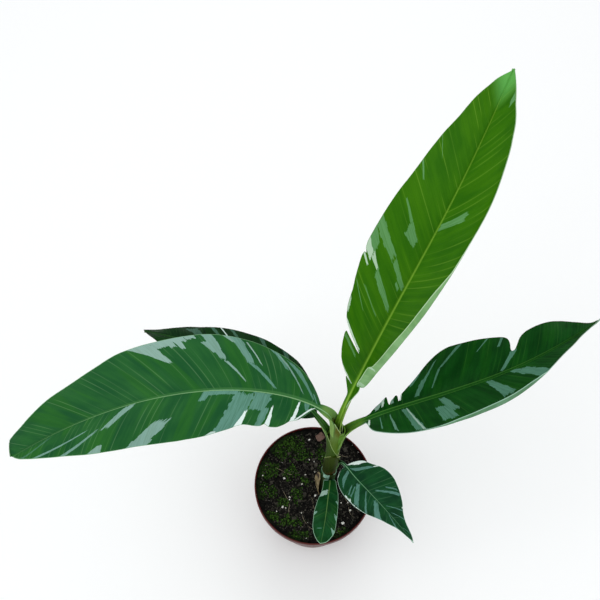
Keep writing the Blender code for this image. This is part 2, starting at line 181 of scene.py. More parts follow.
clear_selection()
bpy.ops.mesh.primitive_circle_add(
    vertices=POT_SIDES, radius=POT_PROFILE[0][0] * MM, fill_type="TRIFAN", location=(0, 0, 0),
)
pot = bpy.context.object
bpy.ops.object.mode_set(mode="EDIT")
bpy.ops.mesh.select_all(action="SELECT")
bpy.ops.mesh.region_to_loop()
for (radius, height), (next_radius, next_height) in zip(POT_PROFILE[:-1], POT_PROFILE[1:]):
    rise = (0, 0, (next_height - height) * MM)
    bpy.ops.mesh.extrude_edges_move(TRANSFORM_OT_translate={"value": rise})
    ratio = next_radius / radius
    middle = (0, 0, next_height * MM)
    bpy.ops.transform.resize(value=(ratio, ratio, 1), center_override=middle)
bpy.ops.mesh.edge_face_add()
bpy.ops.mesh.select_all(action="SELECT")
bpy.ops.mesh.normals_make_consistent(inside=False)
bpy.ops.object.mode_set(mode="OBJECT")
for i in range(DRAINS):
    turn = 2 * math.pi * (i + 0.5) / DRAINS
    place = (DRAIN_CIRCLE * math.cos(turn), DRAIN_CIRCLE * math.sin(turn), BASE_MIDDLE)
    clear_selection()
    bpy.ops.mesh.primitive_cylinder_add(
        vertices=DRILL_SIDES, radius=DRAIN_RADIUS, depth=DRILL_LENGTH, location=place,
    )
    drill = bpy.context.object
    choose(pot)
    hole = pot.modifiers.new("drain hole", "BOOLEAN")
    hole.operation = "DIFFERENCE"
    hole.solver = "EXACT"
    hole.object = drill
    bpy.ops.object.modifier_apply(modifier=hole.name)
    bpy.data.objects.remove(drill)
choose(pot)
bpy.ops.object.shade_smooth_by_angle(angle=math.radians(32))

plastic, tree, shader = new_material("reddish brown pot plastic")
scuffs = rising(speckle(object_place(tree, (1, 1, 0.35)), 240, 6, 0.7), 0.45, 0.8)
cloud = speckle(object_place(tree), 24, 3)
brown = blend(cloud, colour(88, 30, 25), colour(70, 22, 18))
coat(
    shader, blend(times(scuffs, 0.2), brown, colour(122, 70, 62)), times_plus(scuffs, 0.22, 0.36),
    raised(speckle(object_place(tree, (1, 1, 0.3)), 900, 3), 0.12 * MM, 0.5), gloss=0.2,
)
# The inner wall is painted near black up to a ragged line a few millimetres under the rim. This is partly
# smears of mix and partly painted shade inside the pot.
smears_and_shade, tree, shader = new_material("pot wall with mix smears and painted shade")
smear = rising(speckle(object_place(tree, (1, 1, 0.6)), 150, 5, 0.65), 0.3, 0.62)
axes = tree.nodes.new("ShaderNodeSeparateXYZ")
plug(axes.inputs["Vector"], object_place(tree))
clean = rising(times_plus(smear, -6 * MM, axes.outputs["Z"]), 97 * MM, 103 * MM)
coat(
    shader, blend(clean, colour(12, 8, 6), colour(92, 20, 20)), times_plus(clean, -0.35, 0.8),
    raised(smear, 0.5 * MM), gloss=0.12,
)
clad(pot, plastic, smears_and_shade)
for face in pot.data.polygons:
    inward = face.normal.xy.dot(face.center.xy) < -0.3 * face.center.xy.length
    if face.center.z > BASE_TOP and inward:
        face.material_index = 1
finish_piece(pot, "pot_shell", "pot_plastic", "pot")


# The potting mix is damp dark peat and fine bark, filled in loose to 12 mm below the rim, so its top is
# lumpy, and its hollows carry painted shade. Moss has grown on it at the left, and the mix banks up against
# the wall.
MIX_LEVEL = 93 * MM
MIX_RADIUS = 55.6 * MM
MIX_BOTTOM = 1.6 * MM
MIX_GRID, SHOULDER_DROP, SIDE_DROP = 170, 3 * MM, 80 * MM
SHOULDER_SHARE, FOOT_SHARE = 0.952, 0.745
TRUNK_AT_MIX = Vector((12.2 * MM, 0, 0))
TRUNK_CLEAR = 9 * MM
WALL_HEIGHTS = (92.0, 95.6, 96.4, 97.0, 97.9, 104.0)
WALL_CLEAR = (55.6, 56.1, 56.6, 57.7, 58.3, 58.3)
MOSS_BEDS = (  # middle x and y, reach along x and y, in millimetres
    (-28, 41, 19, 13), (-42, 19, 8, 8), (-24, 15, 8, 7), (-11, 33, 9, 8), (-51, 12, 6, 8), (-52, -5, 6, 11),
    (-43, -6, 7, 6), (-8, 6, 6, 5), (-17, -9, 6, 9), (-40, -31, 9, 5), (-24, -36, 12, 5), (8, 34, 6, 12),
    (-13, -49, 12, 5), (24, -47, 11, 6), (-30, -16, 7, 6),
)


def moss_cover(x, y):
    """How thick the moss is at a place, from 0 to 1, given in millimetres."""
    cover = 0.0
    for bed_x, bed_y, reach_x, reach_y in MOSS_BEDS:
        away = math.hypot((x - bed_x) / reach_x, (y - bed_y) / reach_y)
        ragged = 0.6 * noise.noise(Vector((x * 0.13, y * 0.13, 3.0)))
        ragged += 0.5 * noise.noise(Vector((x * 0.4, y * 0.4, 5.0)))
        cover = max(cover, min(1.0, max(0.0, (1.15 - away + ragged) * 1.6)))
    return cover


def mix_height(x, y):
    """The mix's surface in metres at a place given in metres."""
    # Broad swells and ridges, then smaller lumps.
    swell = math.sin(x / (9 * MM) + 0.7) * math.cos(y / (11 * MM) - 0.4)
    ridge = math.sin(x / (5 * MM) - y / (7 * MM) + 2.0)
    height = 1.3 * (0.65 * swell + 0.35 * ridge)
    at = Vector((x / MM, y / MM, 0))
    height += 1.1 * noise.noise(at * 0.16) + 0.85 * noise.noise(at * 0.42) + 0.5 * noise.noise(at * 0.95)
    height += 0.7 * moss_cover(x / MM, y / MM)
    # A low mound round the trunk, and a bank against the wall, highest at the far left.
    from_trunk = (Vector((x, y, 0)) - TRUNK_AT_MIX).length / MM
    height += 1.6 * max(0.0, 1 - (from_trunk - 8) / 9) ** 2
    bank = 5.2 + 2.4 * (0.8 * y - 0.6 * x) / MM / 55
    height += bank * min(1.0, max(0.0, (math.hypot(x, y) / MM - 34) / 20)) ** 2
    return MIX_LEVEL + height * MM


clear_selection()
bpy.ops.mesh.primitive_grid_add(x_subdivisions=MIX_GRID, y_subdivisions=MIX_GRID, size=2)
mix = bpy.context.object
green = mix.data.attributes.new("moss", "FLOAT", "POINT")
for vertex in mix.data.vertices:
    x, y = vertex.co.x, vertex.co.y
    x, y = x * math.sqrt(1 - y * y / 2) * MIX_RADIUS, y * math.sqrt(1 - x * x / 2) * MIX_RADIUS
    height = mix_height(x, y)
    spread = np.interp(height / MM, WALL_HEIGHTS, WALL_CLEAR) * MM / MIX_RADIUS - 1
    spread = 1 + spread * (math.hypot(x, y) / MIX_RADIUS) ** 12
    vertex.co = (x * spread, y * spread, height)
    green.data[vertex.index].value = moss_cover(x / MM, y / MM)
bpy.ops.object.mode_set(mode="EDIT")
bpy.ops.mesh.select_all(action="SELECT")
bpy.ops.mesh.region_to_loop()
bpy.ops.mesh.extrude_edges_move(TRANSFORM_OT_translate={"value": (0, 0, -SHOULDER_DROP)})
bpy.ops.transform.resize(value=(SHOULDER_SHARE, SHOULDER_SHARE, 1), center_override=(0, 0, 0))
bpy.ops.mesh.extrude_edges_move(TRANSFORM_OT_translate={"value": (0, 0, -SIDE_DROP)})
bpy.ops.object.mode_set(mode="OBJECT")
for vertex in mix.data.vertices:
    if vertex.co.z < 30 * MM:
        vertex.co = (vertex.co.x * FOOT_SHARE, vertex.co.y * FOOT_SHARE, MIX_BOTTOM)
bpy.ops.object.mode_set(mode="EDIT")
bpy.ops.mesh.edge_face_add()
bpy.ops.mesh.select_all(action="SELECT")
bpy.ops.mesh.normals_make_consistent(inside=False)
bpy.ops.object.mode_set(mode="OBJECT")
bpy.ops.object.shade_smooth_by_angle(angle=math.radians(60))


def attribute(tree, name):
    """A value that the mesh carries at each point."""
    node = tree.nodes.new("ShaderNodeAttribute")
    node.attribute_name = name
    return node.outputs["Fac"]


peat, tree, shader = new_material("damp potting mix")
place = object_place(tree)
grit = speckle(place, 900, 4, 0.7)
lumps = speckle(place, 260, 4, 0.65)
# The mix is painted near black where its lumps are low and lighter where they are high, and the moss cushions
# are painted the same way. This is the peat's own dark colour with painted shade in the hollows.
dark = blend(rising(lumps, 0.4, 0.68), colour(4, 4, 3), colour(22, 20, 17))
dark = blend(rising(grit, 0.62, 0.8), dark, colour(60, 56, 50))
covered = attribute(tree, "moss")
cushion = blend(lumps, colour(5, 20, 3), colour(34, 60, 14))
on_moss = times(covered, rising(speckle(place, 420, 3, 0.7), 0.36, 0.6))
coat(
    shader, blend(on_moss, dark, cushion), times_plus(lumps, 0.3, 0.68),
    raised(plus(lumps, times(grit, 0.4)), 1.1 * MM), gloss=0.12,
)
clad(mix, peat)
finish_piece(mix, "potting_mix", "potting_mix", "soil")


# Loose crumbs of peat and bark, perlite grains and the moss's tufts lie on the mix, each pressed
# a little into it. Each kind is shaped once, in a few forms, and then copied with its own mesh.
chance = random.Random(41)
FINE_CRUMBS, COARSE_CRUMBS, PERLITE_DUST, MOSS_TUFTS = 3600, 60, 60, 2200


def rough_forms(count, detail, jag, squash):
    """A few rounded lumps with broken surfaces."""
    forms = []
    for k in range(count):
        clear_selection()
        bpy.ops.mesh.primitive_ico_sphere_add(subdivisions=detail, radius=1)
        form = bpy.context.object
        for vertex in form.data.vertices:
            bump = 1 + jag * noise.noise(vertex.co * 1.3 + Vector((7.1 * k, 3.0, 1.7 * k)))
            vertex.co = vertex.co * bump
            vertex.co.z *= squash
        forms.append(form)
    return forms


def strew(forms, places, name):
    """Copies of the forms, each at its place with its own size, turn and shade, as one piece."""
    pieces = []
    for x, y, size, sink in places:
        form = chance.choice(forms)
        piece = bpy.data.objects.new(name, form.data.copy())
        bpy.context.scene.collection.objects.link(piece)
        piece.location = (x, y, mix_height(x, y) + size * (0.35 - sink))
        piece.rotation_euler = [chance.uniform(0, 6.28) for _ in range(3)]
        piece.scale = [size * chance.uniform(0.65, 1.25) for _ in range(3)]
        shade = piece.data.attributes.new("shade", "FLOAT", "POINT")
        shade.data.foreach_set("value", [chance.random()] * len(piece.data.vertices))
        pieces.append(piece)
    choose(*pieces)
    bpy.ops.object.join()
    bpy.ops.object.transform_apply(location=True, rotation=True, scale=True)
    whole = bpy.context.object
    for form in forms:
        bpy.data.objects.remove(form)
    return whole


def place_on_mix(margin):
    """A chance place on the mix, clear of the trunk and the wall, in metres."""
    while True:
        radius = (MIX_RADIUS - margin) * math.sqrt(chance.random())
        turn = chance.uniform(0, 2 * math.pi)
        x, y = radius * math.cos(turn), radius * math.sin(turn)
        if (Vector((x, y, 0)) - TRUNK_AT_MIX).length > TRUNK_CLEAR:
            return x, y


def shaded_material(name, low, high, roughness, grain, depth):
    """A material whose pieces differ in shade, with a grainy surface."""
    material, tree, shader = new_material(name)
    shade = attribute(tree, "shade")
    spots = speckle(object_place(tree), grain, 4, 0.65)
    share = times_plus(spots, 0.6, times_plus(shade, 1.0, -0.42), clamp=True)
    coat(shader, blend(share, low, high), roughness, raised(spots, depth), gloss=0.12)
    return material


fine_places, lump_places = [], []
while len(fine_places) < FINE_CRUMBS:
    x, y = place_on_mix(1.0 * MM)
    if chance.random() < 1 - 0.8 * moss_cover(x / MM, y / MM):
        fine_places.append((x, y, chance.uniform(0.3, 1.0) * MM, chance.uniform(0.0, 0.5)))
while len(lump_places) < COARSE_CRUMBS:
    x, y = place_on_mix(2.5 * MM)
    grouped = 0.5 + noise.noise(Vector((x / MM * 0.07, y / MM * 0.07, 9.0)))
    if chance.random() < grouped * (1 - 0.8 * moss_cover(x / MM, y / MM)):
        lump_places.append((x, y, chance.uniform(1.0, 2.2) * MM, chance.uniform(0.1, 0.5)))
fine = strew(rough_forms(5, 1, 0.9, 0.8), fine_places, "fine crumb")
crumbs = strew(rough_forms(5, 3, 0.9, 0.75), lump_places, "crumb")
choose(crumbs, fine)
bpy.ops.object.join()
clad(crumbs, shaded_material(
    "peat and bark crumbs", colour(3, 3, 2), colour(82, 78, 70), 0.85, 700, 0.5 * MM,
))
finish_piece(crumbs, "peat_crumbs", "potting_mix")

PERLITE = (  # x, y and radius of the grains that stand out, in millimetres
    (-11.8, 2.4, 1.35), (-24.4, -10.9, 1.2), (-31.3, -20.6, 1.4), (-28.3, -22.1, 0.8), (-24.6, -13.5, 0.8),
    (-12.4, -27.0, 1.0), (1.7, -9.2, 1.2), (-8.2, 12.1, 1.0), (1.5, 15.2, 1.0), (-3.9, 48.1, 1.1),
    (41.9, 42.1, 1.2), (47.3, 34.7, 0.9), (29.0, -37.6, 1.6), (36.9, -24.5, 1.4), (35.1, -16.6, 0.9),
    (28.1, -16.6, 0.9), (-30.1, 8.0, 1.5), (-52.0, 9.1, 0.9), (-4.3, 28.0, 0.8), (1.0, 26.0, 0.9),
)
perlite_places = [(x * MM, y * MM, size * MM, 0.1) for x, y, size in PERLITE]
for _ in range(PERLITE_DUST):
    x, y = place_on_mix(2.5 * MM)
    perlite_places.append((x, y, (0.22 + 0.5 * chance.random() ** 2) * MM, chance.uniform(0.1, 0.6)))
perlite = strew(rough_forms(4, 2, 0.55, 0.85), perlite_places, "perlite")
clad(perlite, shaded_material(
    "perlite", colour(206, 202, 190), colour(255, 254, 250), 0.7, 1500, 0.3 * MM,
))
finish_piece(perlite, "perlite_grains", "potting_mix")

moss_places = []
while len(moss_places) < MOSS_TUFTS:
    x, y = place_on_mix(1.0 * MM)
    if chance.random() < moss_cover(x / MM, y / MM):
        moss_places.append((x, y, chance.uniform(0.3, 0.95) * MM, 0.3))
moss = strew(rough_forms(5, 1, 1.5, 0.9), moss_places, "tuft")
clad(moss, shaded_material("moss", colour(3, 18, 2), colour(70, 108, 34), 0.9, 500, 0.6 * MM))
finish_piece(moss, "moss_tufts", "potting_mix")

# One larger chip of bark lies at the far side, its edges worn round. It is a grey-brown block of
# fibres, sunk a little into the mix.
clear_selection()
bpy.ops.mesh.primitive_cube_add(size=2, location=(0, 0, 0))
chip = bpy.context.object
bpy.ops.object.mode_set(mode="EDIT")
bpy.ops.mesh.bevel(offset=0.35, segments=2)
bpy.ops.mesh.subdivide(number_cuts=2, smoothness=0.2)
bpy.ops.object.mode_set(mode="OBJECT")
for vertex in chip.data.vertices:
    vertex.co = vertex.co * (1 + 0.3 * noise.noise(vertex.co * 1.1 + Vector((2, 5, 1))))
chip_x, chip_y = 7.6 * MM, 51.0 * MM
chip.scale = (4.2 * MM, 3.6 * MM, 1.3 * MM)
chip.rotation_euler = (0.15, -0.1, 0.5)
chip.location = (chip_x, chip_y, mix_height(chip_x, chip_y) + 0.9 * MM)
choose(chip)
bpy.ops.object.transform_apply(location=True, rotation=True, scale=True)
bpy.ops.object.shade_smooth_by_angle(angle=math.radians(50))
bark, tree, shader = new_material("bark chip")
fibre = speckle(object_place(tree, (1, 4, 1)), 420, 4, 0.6)
coat(shader, blend(fibre, colour(78, 54, 46), colour(128, 100, 88)), 0.85, raised(fibre, 0.6 * MM))
clad(chip, bark)
finish_piece(chip, "bark_chip", "potting_mix")

# A few thin old roots lie bare on the mix, dry and pale brown. Each is a round thread drawn through
# a few points, and follows the mix's lumps.
ROOT_THREADS = (  # points in millimetres, from above
    ((-31, -5), (-27, -12), (-24, -19), (-26, -27), (-24, -33)), ((-12, -29), (-9, -36), (-4, -42), (1, -44)),
    ((-40, 19), (-33, 17), (-27, 12), (-22, 12)), ((32, -12), (36, -19), (35, -27), (40, -32)),
    ((-4, -9), (0, -14), (-1, -20), (3, -25)), ((20, 30), (27, 34), (33, 30), (39, 31)),
)
ROOT_RADIUS, ROOT_LIFT = 0.22 * MM, 0.35 * MM
threads = []
for points in ROOT_THREADS:
    line = bpy.data.curves.new("root thread", "CURVE")
    line.dimensions = "3D"
    line.bevel_depth = ROOT_RADIUS
    line.bevel_resolution = 2
    line.use_fill_caps = True
    spline = line.splines.new("NURBS")
    spline.points.add(len(points) - 1)
    spline.use_endpoint_u = True
    spline.order_u = 3
    for point, (x, y) in zip(spline.points, points):
        point.co = (x * MM, y * MM, mix_height(x * MM, y * MM) + ROOT_LIFT, 1)
    thread = bpy.data.objects.new("root thread", line)
    bpy.context.scene.collection.objects.link(thread)
    threads.append(thread)
choose(*threads)
bpy.ops.object.convert(target="MESH")
bpy.ops.object.join()
roots = bpy.context.object
bpy.ops.object.shade_smooth()
root_skin, tree, shader = new_material("root threads")
spots = speckle(object_place(tree), 600, 3)
coat(shader, blend(spots, colour(96, 84, 66), colour(158, 146, 122)), 0.8)
clad(roots, root_skin)
finish_piece(roots, "root_threads", "potting_mix")


# The leaves. Each is a petiole that widens into a rib with a blade on either side, whose veins
# run out from the rib and lean to the tip. A leaf is laid out vein by vein: every row of its
# grid is one vein on the left and one on the right, so that tears and pale streaks follow them.
def between(stations, values, slopes, i, t):
    """The cubic from station i to the next, read at a share t of the way."""
    step = stations[i + 1] - stations[i]
    return (
        (1 + 2 * t) * (1 - t) ** 2 * values[i] + t * (1 - t) ** 2 * step * slopes[i]
        + t * t * (3 - 2 * t) * values[i + 1] + t * t * (t - 1) * step * slopes[i + 1]
    )


def smooth_through(stations, values, x):
    """A smooth curve through values at unevenly spaced stations, read at x."""
    k = np.asarray(stations, float)
    v = np.asarray(values, float)
    x = np.clip(x, k[0], k[-1])
    i = np.clip(np.searchsorted(k, x, side="right") - 1, 0, len(k) - 2)
    step = np.diff(k)
    rate = np.diff(v) / step
    inner = (rate[:-1] * step[1:] + rate[1:] * step[:-1]) / (step[:-1] + step[1:])
    return between(k, v, np.concatenate([rate[:1], inner, rate[-1:]]), i, (x - k[i]) / step[i])


def margin_at(stations, u):
    """The margin's reach on the vein that leaves the rib at u, without overshoot at a tear."""
    k, v = np.array(stations, float).T
    step = np.diff(k)
    rate = np.diff(v) / step
    both = rate[:-1] * rate[1:]
    inner = np.where(both > 0, 2 * both / np.where(both > 0, rate[:-1] + rate[1:], 1), 0)
    i = int(np.clip(np.searchsorted(k, u, side="right") - 1, 0, len(k) - 2))
    t = float(np.clip((u - k[i]) / step[i], 0, 1))
    return float(between(k, v, np.concatenate([rate[:1], inner, rate[-1:]]), i, t))


def even(values, share):
    """A smooth curve through evenly spaced values, read at a share of its length."""
    return smooth_through(np.linspace(0, 1, len(values)), values, share)


def soft_between(low, high, x):
    """0 at low, 1 at high and smooth between."""
    x = np.clip((x - low) / (high - low), 0, 1)
    return x * x * (3 - 2 * x)


TRUNK_STATIONS = (60, 93, 140, 187, 225, 256, 300)
TRUNK_X = (11.8, 12.2, 13.5, 14.9, 15.8, 16.3, 17.0)
TRUNK_Y = (0.0, 0.0, 0.1, 0.2, 0.4, 0.6, 0.9)
TRUNK_RADIUS = (6.2, 6.3, 5.9, 5.6, 5.2, 4.7, 4.4)
RIB_COLUMNS = (0.28, 0.55, 0.8, 1.0)
BLADE_COLUMNS = np.linspace(0, 1, 16)[1:] ** 0.92
BLADE_THICKNESS = 0.5
RIB_SHARE = 0.6
STALK_STEP = 1.6
PETIOLE_FOLD, PETIOLE_SAG = 14, 52
FLUTTER_SCALE = 0.085
ROLL_BEND = 2.6
ROLL_COLUMNS = ((0.25, 0.0), (0.5, 0.0), (0.75, 0.0), (1.0, 0.0), (1.0, 0.35), (1.0, 0.7), (1.0, 1.0))


def trunk_middle(height):
    """The trunk's middle at a height in millimetres, as a point in millimetres."""
    return np.array([*(smooth_through(TRUNK_STATIONS, way, height) for way in (TRUNK_X, TRUNK_Y)), height])


def heading(leaf, at):
    """The rib's bearing and climb at distances along it, in radians, and the way it runs there."""
    distance, bearing, climb = np.array(leaf["rib"], float).T
    b = np.radians(smooth_through(distance, bearing, at))
    c = np.radians(smooth_through(distance, climb, at))
    return b, np.stack([np.sin(b) * np.cos(c), np.cos(b) * np.cos(c), np.sin(c)], 1)


def rib_path(leaf):
    """Points a millimetre apart along the rib."""
    u = np.arange(0, leaf["rib"][-1][0] + 1, 1.0)
    out = math.radians(leaf["rib"][0][1])
    root = trunk_middle(leaf["root"]) + leaf["offset"] * np.array([math.sin(out), math.cos(out), 0])
    return u, np.vstack([root, root + np.cumsum(heading(leaf, u[:-1] + 0.5)[1], 0)])


def rib_frames(leaf, path, u):
    """The rib's points at distances u, with the directions to the right and up from the blade."""
    foot, length = leaf["petiole"], leaf["rib"][-1][0]
    held = np.clip(u, 0, length)
    point = np.stack([np.interp(held, path[0], path[1][:, k]) for k in range(3)], 1)
    b, ahead = heading(leaf, held)
    share = np.clip((held - foot) / (length - foot), 0, 1)
    bank = np.radians(even(leaf["bank"], share))[:, None]
    level = np.stack([np.cos(b), -np.sin(b), np.zeros_like(b)], 1)
    above = np.cross(level, ahead)
    right = level * np.cos(bank) + above * np.sin(bank)
    up = above * np.cos(bank) - level * np.sin(bank)
    return point + ahead * np.minimum(u, 0)[:, None], right, up


def section(fold, sag, curl, share, steps=60, end=1.6):
    """How far out and up the blade's section is at a share of its run, and its slope there."""
    at = np.linspace(0, end, steps + 1)
    t = (at[:-1] + at[1:]) / 2
    held = np.minimum(t, 1)
    slope = np.radians(fold + sag * held + curl * soft_between(0.75, 1.0, held))
    out = np.concatenate([[0], np.cumsum(np.cos(slope))]) * end / steps
    up = np.concatenate([[0], np.cumsum(np.sin(slope))]) * end / steps
    return np.interp(share, at, out), np.interp(share, at, up), np.interp(share, t, slope)


def leaf_stations(leaf):
    """The distance along the rib of each row, closer together where the blade is torn."""
    foot, length = leaf["petiole"], leaf["rib"][-1][0]
    stalk = list(np.arange(-leaf.get("stub", 0), foot - 0.5, STALK_STEP))
    blade = list(np.linspace(foot, length - 0.05, leaf["rows"]))
    for start, end, step in leaf.get("fine", ()):
        blade = [u for u in blade if not start - step / 2 < u < end + step / 2]
        blade += list(np.arange(start, end, step))
    return stalk + sorted(blade)


def stalk_section(leaf, shape, lean, stalk):
    """The petiole's channel at a share of its length: its reach, rib, angles and ripple."""
    reach = float(even(leaf["girth"], stalk))
    hug = leaf.get("hug", math.degrees(reach / leaf["offset"]))
    leaving = soft_between(0.3, 0.6, stalk)
    opening = soft_between(0.6, 1.0, stalk)
    fold = PETIOLE_FOLD * leaving * (1 - opening) + shape["fold"][0] * opening
    sag = hug + (PETIOLE_SAG - hug) * leaving
    sag += (shape["sag"][0] - sag) * opening
    return reach, reach, RIB_SHARE * reach, fold, sag, 0.0, lean[0] * opening, 0.0, 0.0


def blade_section(leaf, shape, lean, along, u, sign):
    """The blade's section at a share of its length: its reach, rib, angles and ripple."""
    full_reach = float(even(shape["reach"], along))
    reach = margin_at(shape["margin"], u) if "margin" in shape else full_reach
    full_reach = max(full_reach, reach / 1.5)
    rib_reach = min(RIB_SHARE * reach, float(even((1.9, 1.5, 0.9), along)))
    fold, sag, curl = (float(even(shape[k], along)) for k in ("fold", "sag", "curl"))
    height, waves = leaf["ripple"]
    fade = soft_between(0, 0.15, along)
    ripple = height * math.sin(2 * math.pi * waves * along + sign) * fade
    flutter = noise.noise(Vector((u * FLUTTER_SCALE, sign * 4.0, leaf["root"] * 0.1)))
    ripple += leaf["flutter"] * flutter * fade * min(1.0, 6 * (1 - along))
    return full_reach, reach, rib_reach, fold, sag, curl, float(even(lean, along)), ripple, fade


def leaf_row(leaf, path, u):
    """One vein pair: points from margin to margin, the depth under each, and the paint's guides."""
    foot, length = leaf["petiole"], leaf["rib"][-1][0]
    along = (u - foot) / (length - foot)
    stalk = np.clip(u / foot, 0, 1)
    keel = even(leaf["keel"], 0.4 * stalk + 0.6 * max(0.0, along))
    points, depths, guides = [], [], []
    for side, sign in (("left", -1), ("right", 1)):
        shape = leaf[side]
        lean = shape.get("sweep", leaf["sweep"])
        if along < 0:
            values = stalk_section(leaf, shape, lean, stalk)
        else:
            values = blade_section(leaf, shape, lean, along, u, sign)
        full_reach, reach, rib_reach, fold, sag, curl, sweep, ripple, fade = values
        arcs = [0.0] + [rib_reach * k for k in RIB_COLUMNS]
        arcs = np.array(arcs + [rib_reach + (reach - rib_reach) * k for k in BLADE_COLUMNS])
        share = arcs / full_reach
        out, rise, slope = section(fold, sag, curl, share)
        out, lift = out * full_reach, rise * full_reach + ripple * np.minimum(share, 1) ** 2
        pleat = leaf["pleat"] * math.sin(2 * math.pi * u / leaf["vein_step"])
        lift = lift + pleat * fade * soft_between(0.04, 0.3, share) * (1 - 0.5 * np.minimum(share, 1))
        groove = leaf.get("groove", 0.55) * fade
        lift = lift - groove * (1 - soft_between(0, 1, arcs / max(rib_reach, 0.01)))
        stout = np.maximum(0, 1 - (arcs / rib_reach) ** 2)
        depth = BLADE_THICKNESS + max(0.0, keel - BLADE_THICKNESS) * stout
        edge = reach - arcs
        if "rolled" in shape:
            rolled = margin_at(shape["rolled"], u)
            edge = reach + rolled - arcs
            bend = min(ROLL_BEND, rolled)
            steps = [bend * a + (rolled - bend) * b for a, b in ROLL_COLUMNS]
            turn, last = slope[-1], 0.0
            outs, lifts = [out[-1]], [lift[-1]]
            for at in steps:
                turned = turn + math.radians(shape["turn"]) * min(1.0, (at + last) / 2 / max(bend, 0.01))
                outs.append(outs[-1] + (at - last) * math.cos(turned))
                lifts.append(lifts[-1] + (at - last) * math.sin(turned))
                last = at
            arcs = np.concatenate([arcs, reach + np.array(steps)])
            out, lift = np.concatenate([out, outs[1:]]), np.concatenate([lift, lifts[1:]])
            depth = np.concatenate([depth, np.full(len(steps), BLADE_THICKNESS)])
            edge = np.concatenate([edge, rolled - np.array(steps)])
            share = arcs / full_reach
        start, right, up = rib_frames(leaf, path, u + arcs * math.tan(math.radians(sweep)))
        place = start + right * (sign * out)[:, None] + up * lift[:, None]
        guide = np.stack([np.full_like(arcs, u), sign * share, sign * arcs, edge], 1)
        order = slice(None, 0, -1) if side == "left" else slice(None)
        points.append(place[order])
        depths.append(depth[order])
        guides.append(guide[order])
    return np.vstack(points), np.concatenate(depths), np.vstack(guides)


GUIDES = ("vein", "out", "arc", "edge")


def lay_sheet(rows, columns, points, depths, guides):
    """A grid laid over the points, thickened downwards, that carries the paint's guides."""
    clear_selection()
    bpy.ops.mesh.primitive_grid_add(x_subdivisions=columns - 1, y_subdivisions=rows - 1, size=2)
    sheet = bpy.context.object
    flat = np.zeros(len(sheet.data.vertices) * 3)
    sheet.data.vertices.foreach_get("co", flat)
    flat = flat.reshape(-1, 3)
    across = np.rint((flat[:, 0] + 1) / 2 * (columns - 1)).astype(int)
    along = np.rint((flat[:, 1] + 1) / 2 * (rows - 1)).astype(int)
    index = along * columns + across
    sheet.data.vertices.foreach_set("co", (points[index] * MM).ravel())
    for k, name in enumerate(GUIDES):
        layer = sheet.data.attributes.new(name, "FLOAT", "POINT")
        layer.data.foreach_set("value", guides[index, k])
    clad(sheet, None, None)
    deepest = float(depths.max())
    group = sheet.vertex_groups.new(name="depth")
    for i, depth in enumerate(depths[index]):
        group.add([i], float(depth / deepest), "REPLACE")
    thicken = sheet.modifiers.new("thickness", "SOLIDIFY")
    thicken.thickness = deepest * MM
    thicken.offset = -1
    thicken.vertex_group = group.name
    thicken.material_offset = 1
    thicken.use_quality_normals = True
    bpy.ops.object.modifier_apply(modifier=thicken.name)
    sheet.vertex_groups.clear()
    bpy.ops.object.shade_smooth_by_angle(angle=math.radians(55))
    return sheet


def new_group(name, values, colours, results):
    """A node group with its named sockets, and the sockets to build it between."""
    group = bpy.data.node_groups.new(name, "ShaderNodeTree")
    sockets = [(given, "INPUT", "Float") for given in values]
    sockets += [(given, "INPUT", "Color") for given in colours]
    sockets += [(given, "OUTPUT", kind) for given, kind in results]
    for given, way, kind in sockets:
        group.interface.new_socket(given, in_out=way, socket_type="NodeSocket" + kind)
    return group, group.nodes.new("NodeGroupInput").outputs[:-1], group.nodes.new("NodeGroupOutput").inputs


def use_group(tree, group, values):
    """Place a node group in a material, with its values by name."""
    node = tree.nodes.new("ShaderNodeGroup")
    node.node_tree = group
    for name, value in values.items():
        plug(node.inputs[name], value)
    return node.outputs


def falling(value, low, high):
    """1 below low, 0 above high and smooth between."""
    return minus(1.0, rising(value, low, high))


def line_noise(value, white=True):
    """Noise along a line: white, or smooth about a half."""
    node = new_node("TexWhiteNoise" if white else "TexNoise", value)
    node.noise_dimensions = "1D"
    plug(node.inputs["W"], value)
    if not white:
        node.inputs["Scale"].default_value = 1.0
    return node.outputs["Value" if white else "Fac"]


# One pale streak: a band of strands that runs along the veins, each strand with its own ends, so
# that the ends are stepped as they are where the pale tissue stops at a vein.
STREAK_INPUTS = (
    "Before", "Vein", "Out", "Side", "Start Vein", "End Vein", "Start", "End", "Start Width", "End Width",
    "Tone", "Strand", "Fray",
)
streak_group, given, result = new_group("pale streak", STREAK_INPUTS, (), [("Tone", "Float")])
before, vein, out, side, start_vein, end_vein, start, end = given[:8]
start_width, end_width, tone, strand_width, fray = given[8:]
# How far along the streak a point is, and where its middle and edges are there.
share = times(out, side)
run = over(minus(share, start), minus(end, start))
held_run = plus(run, 0.0, clamp=True)
centre = times_plus(minus(end_vein, start_vein), run, start_vein)
width = times_plus(minus(end_width, start_width), held_run, start_width)
seed = times_plus(start_vein, 1.37, times(side, 17.3))
# Its middle wanders a little, and its width changes in small steps.
wander = minus(line_noise(times_plus(share, 4.0, seed), white=False), 0.5)
offset = plus(minus(vein, centre), times(wander, times_plus(width, 0.16, 0.6)))
steps = line_noise(plus(maths("FLOOR", times(share, 13.0)), seed))
half_width = times(width, times_plus(steps, 0.14, 0.43))
inside = maths("LESS_THAN", size_of(offset), half_width)
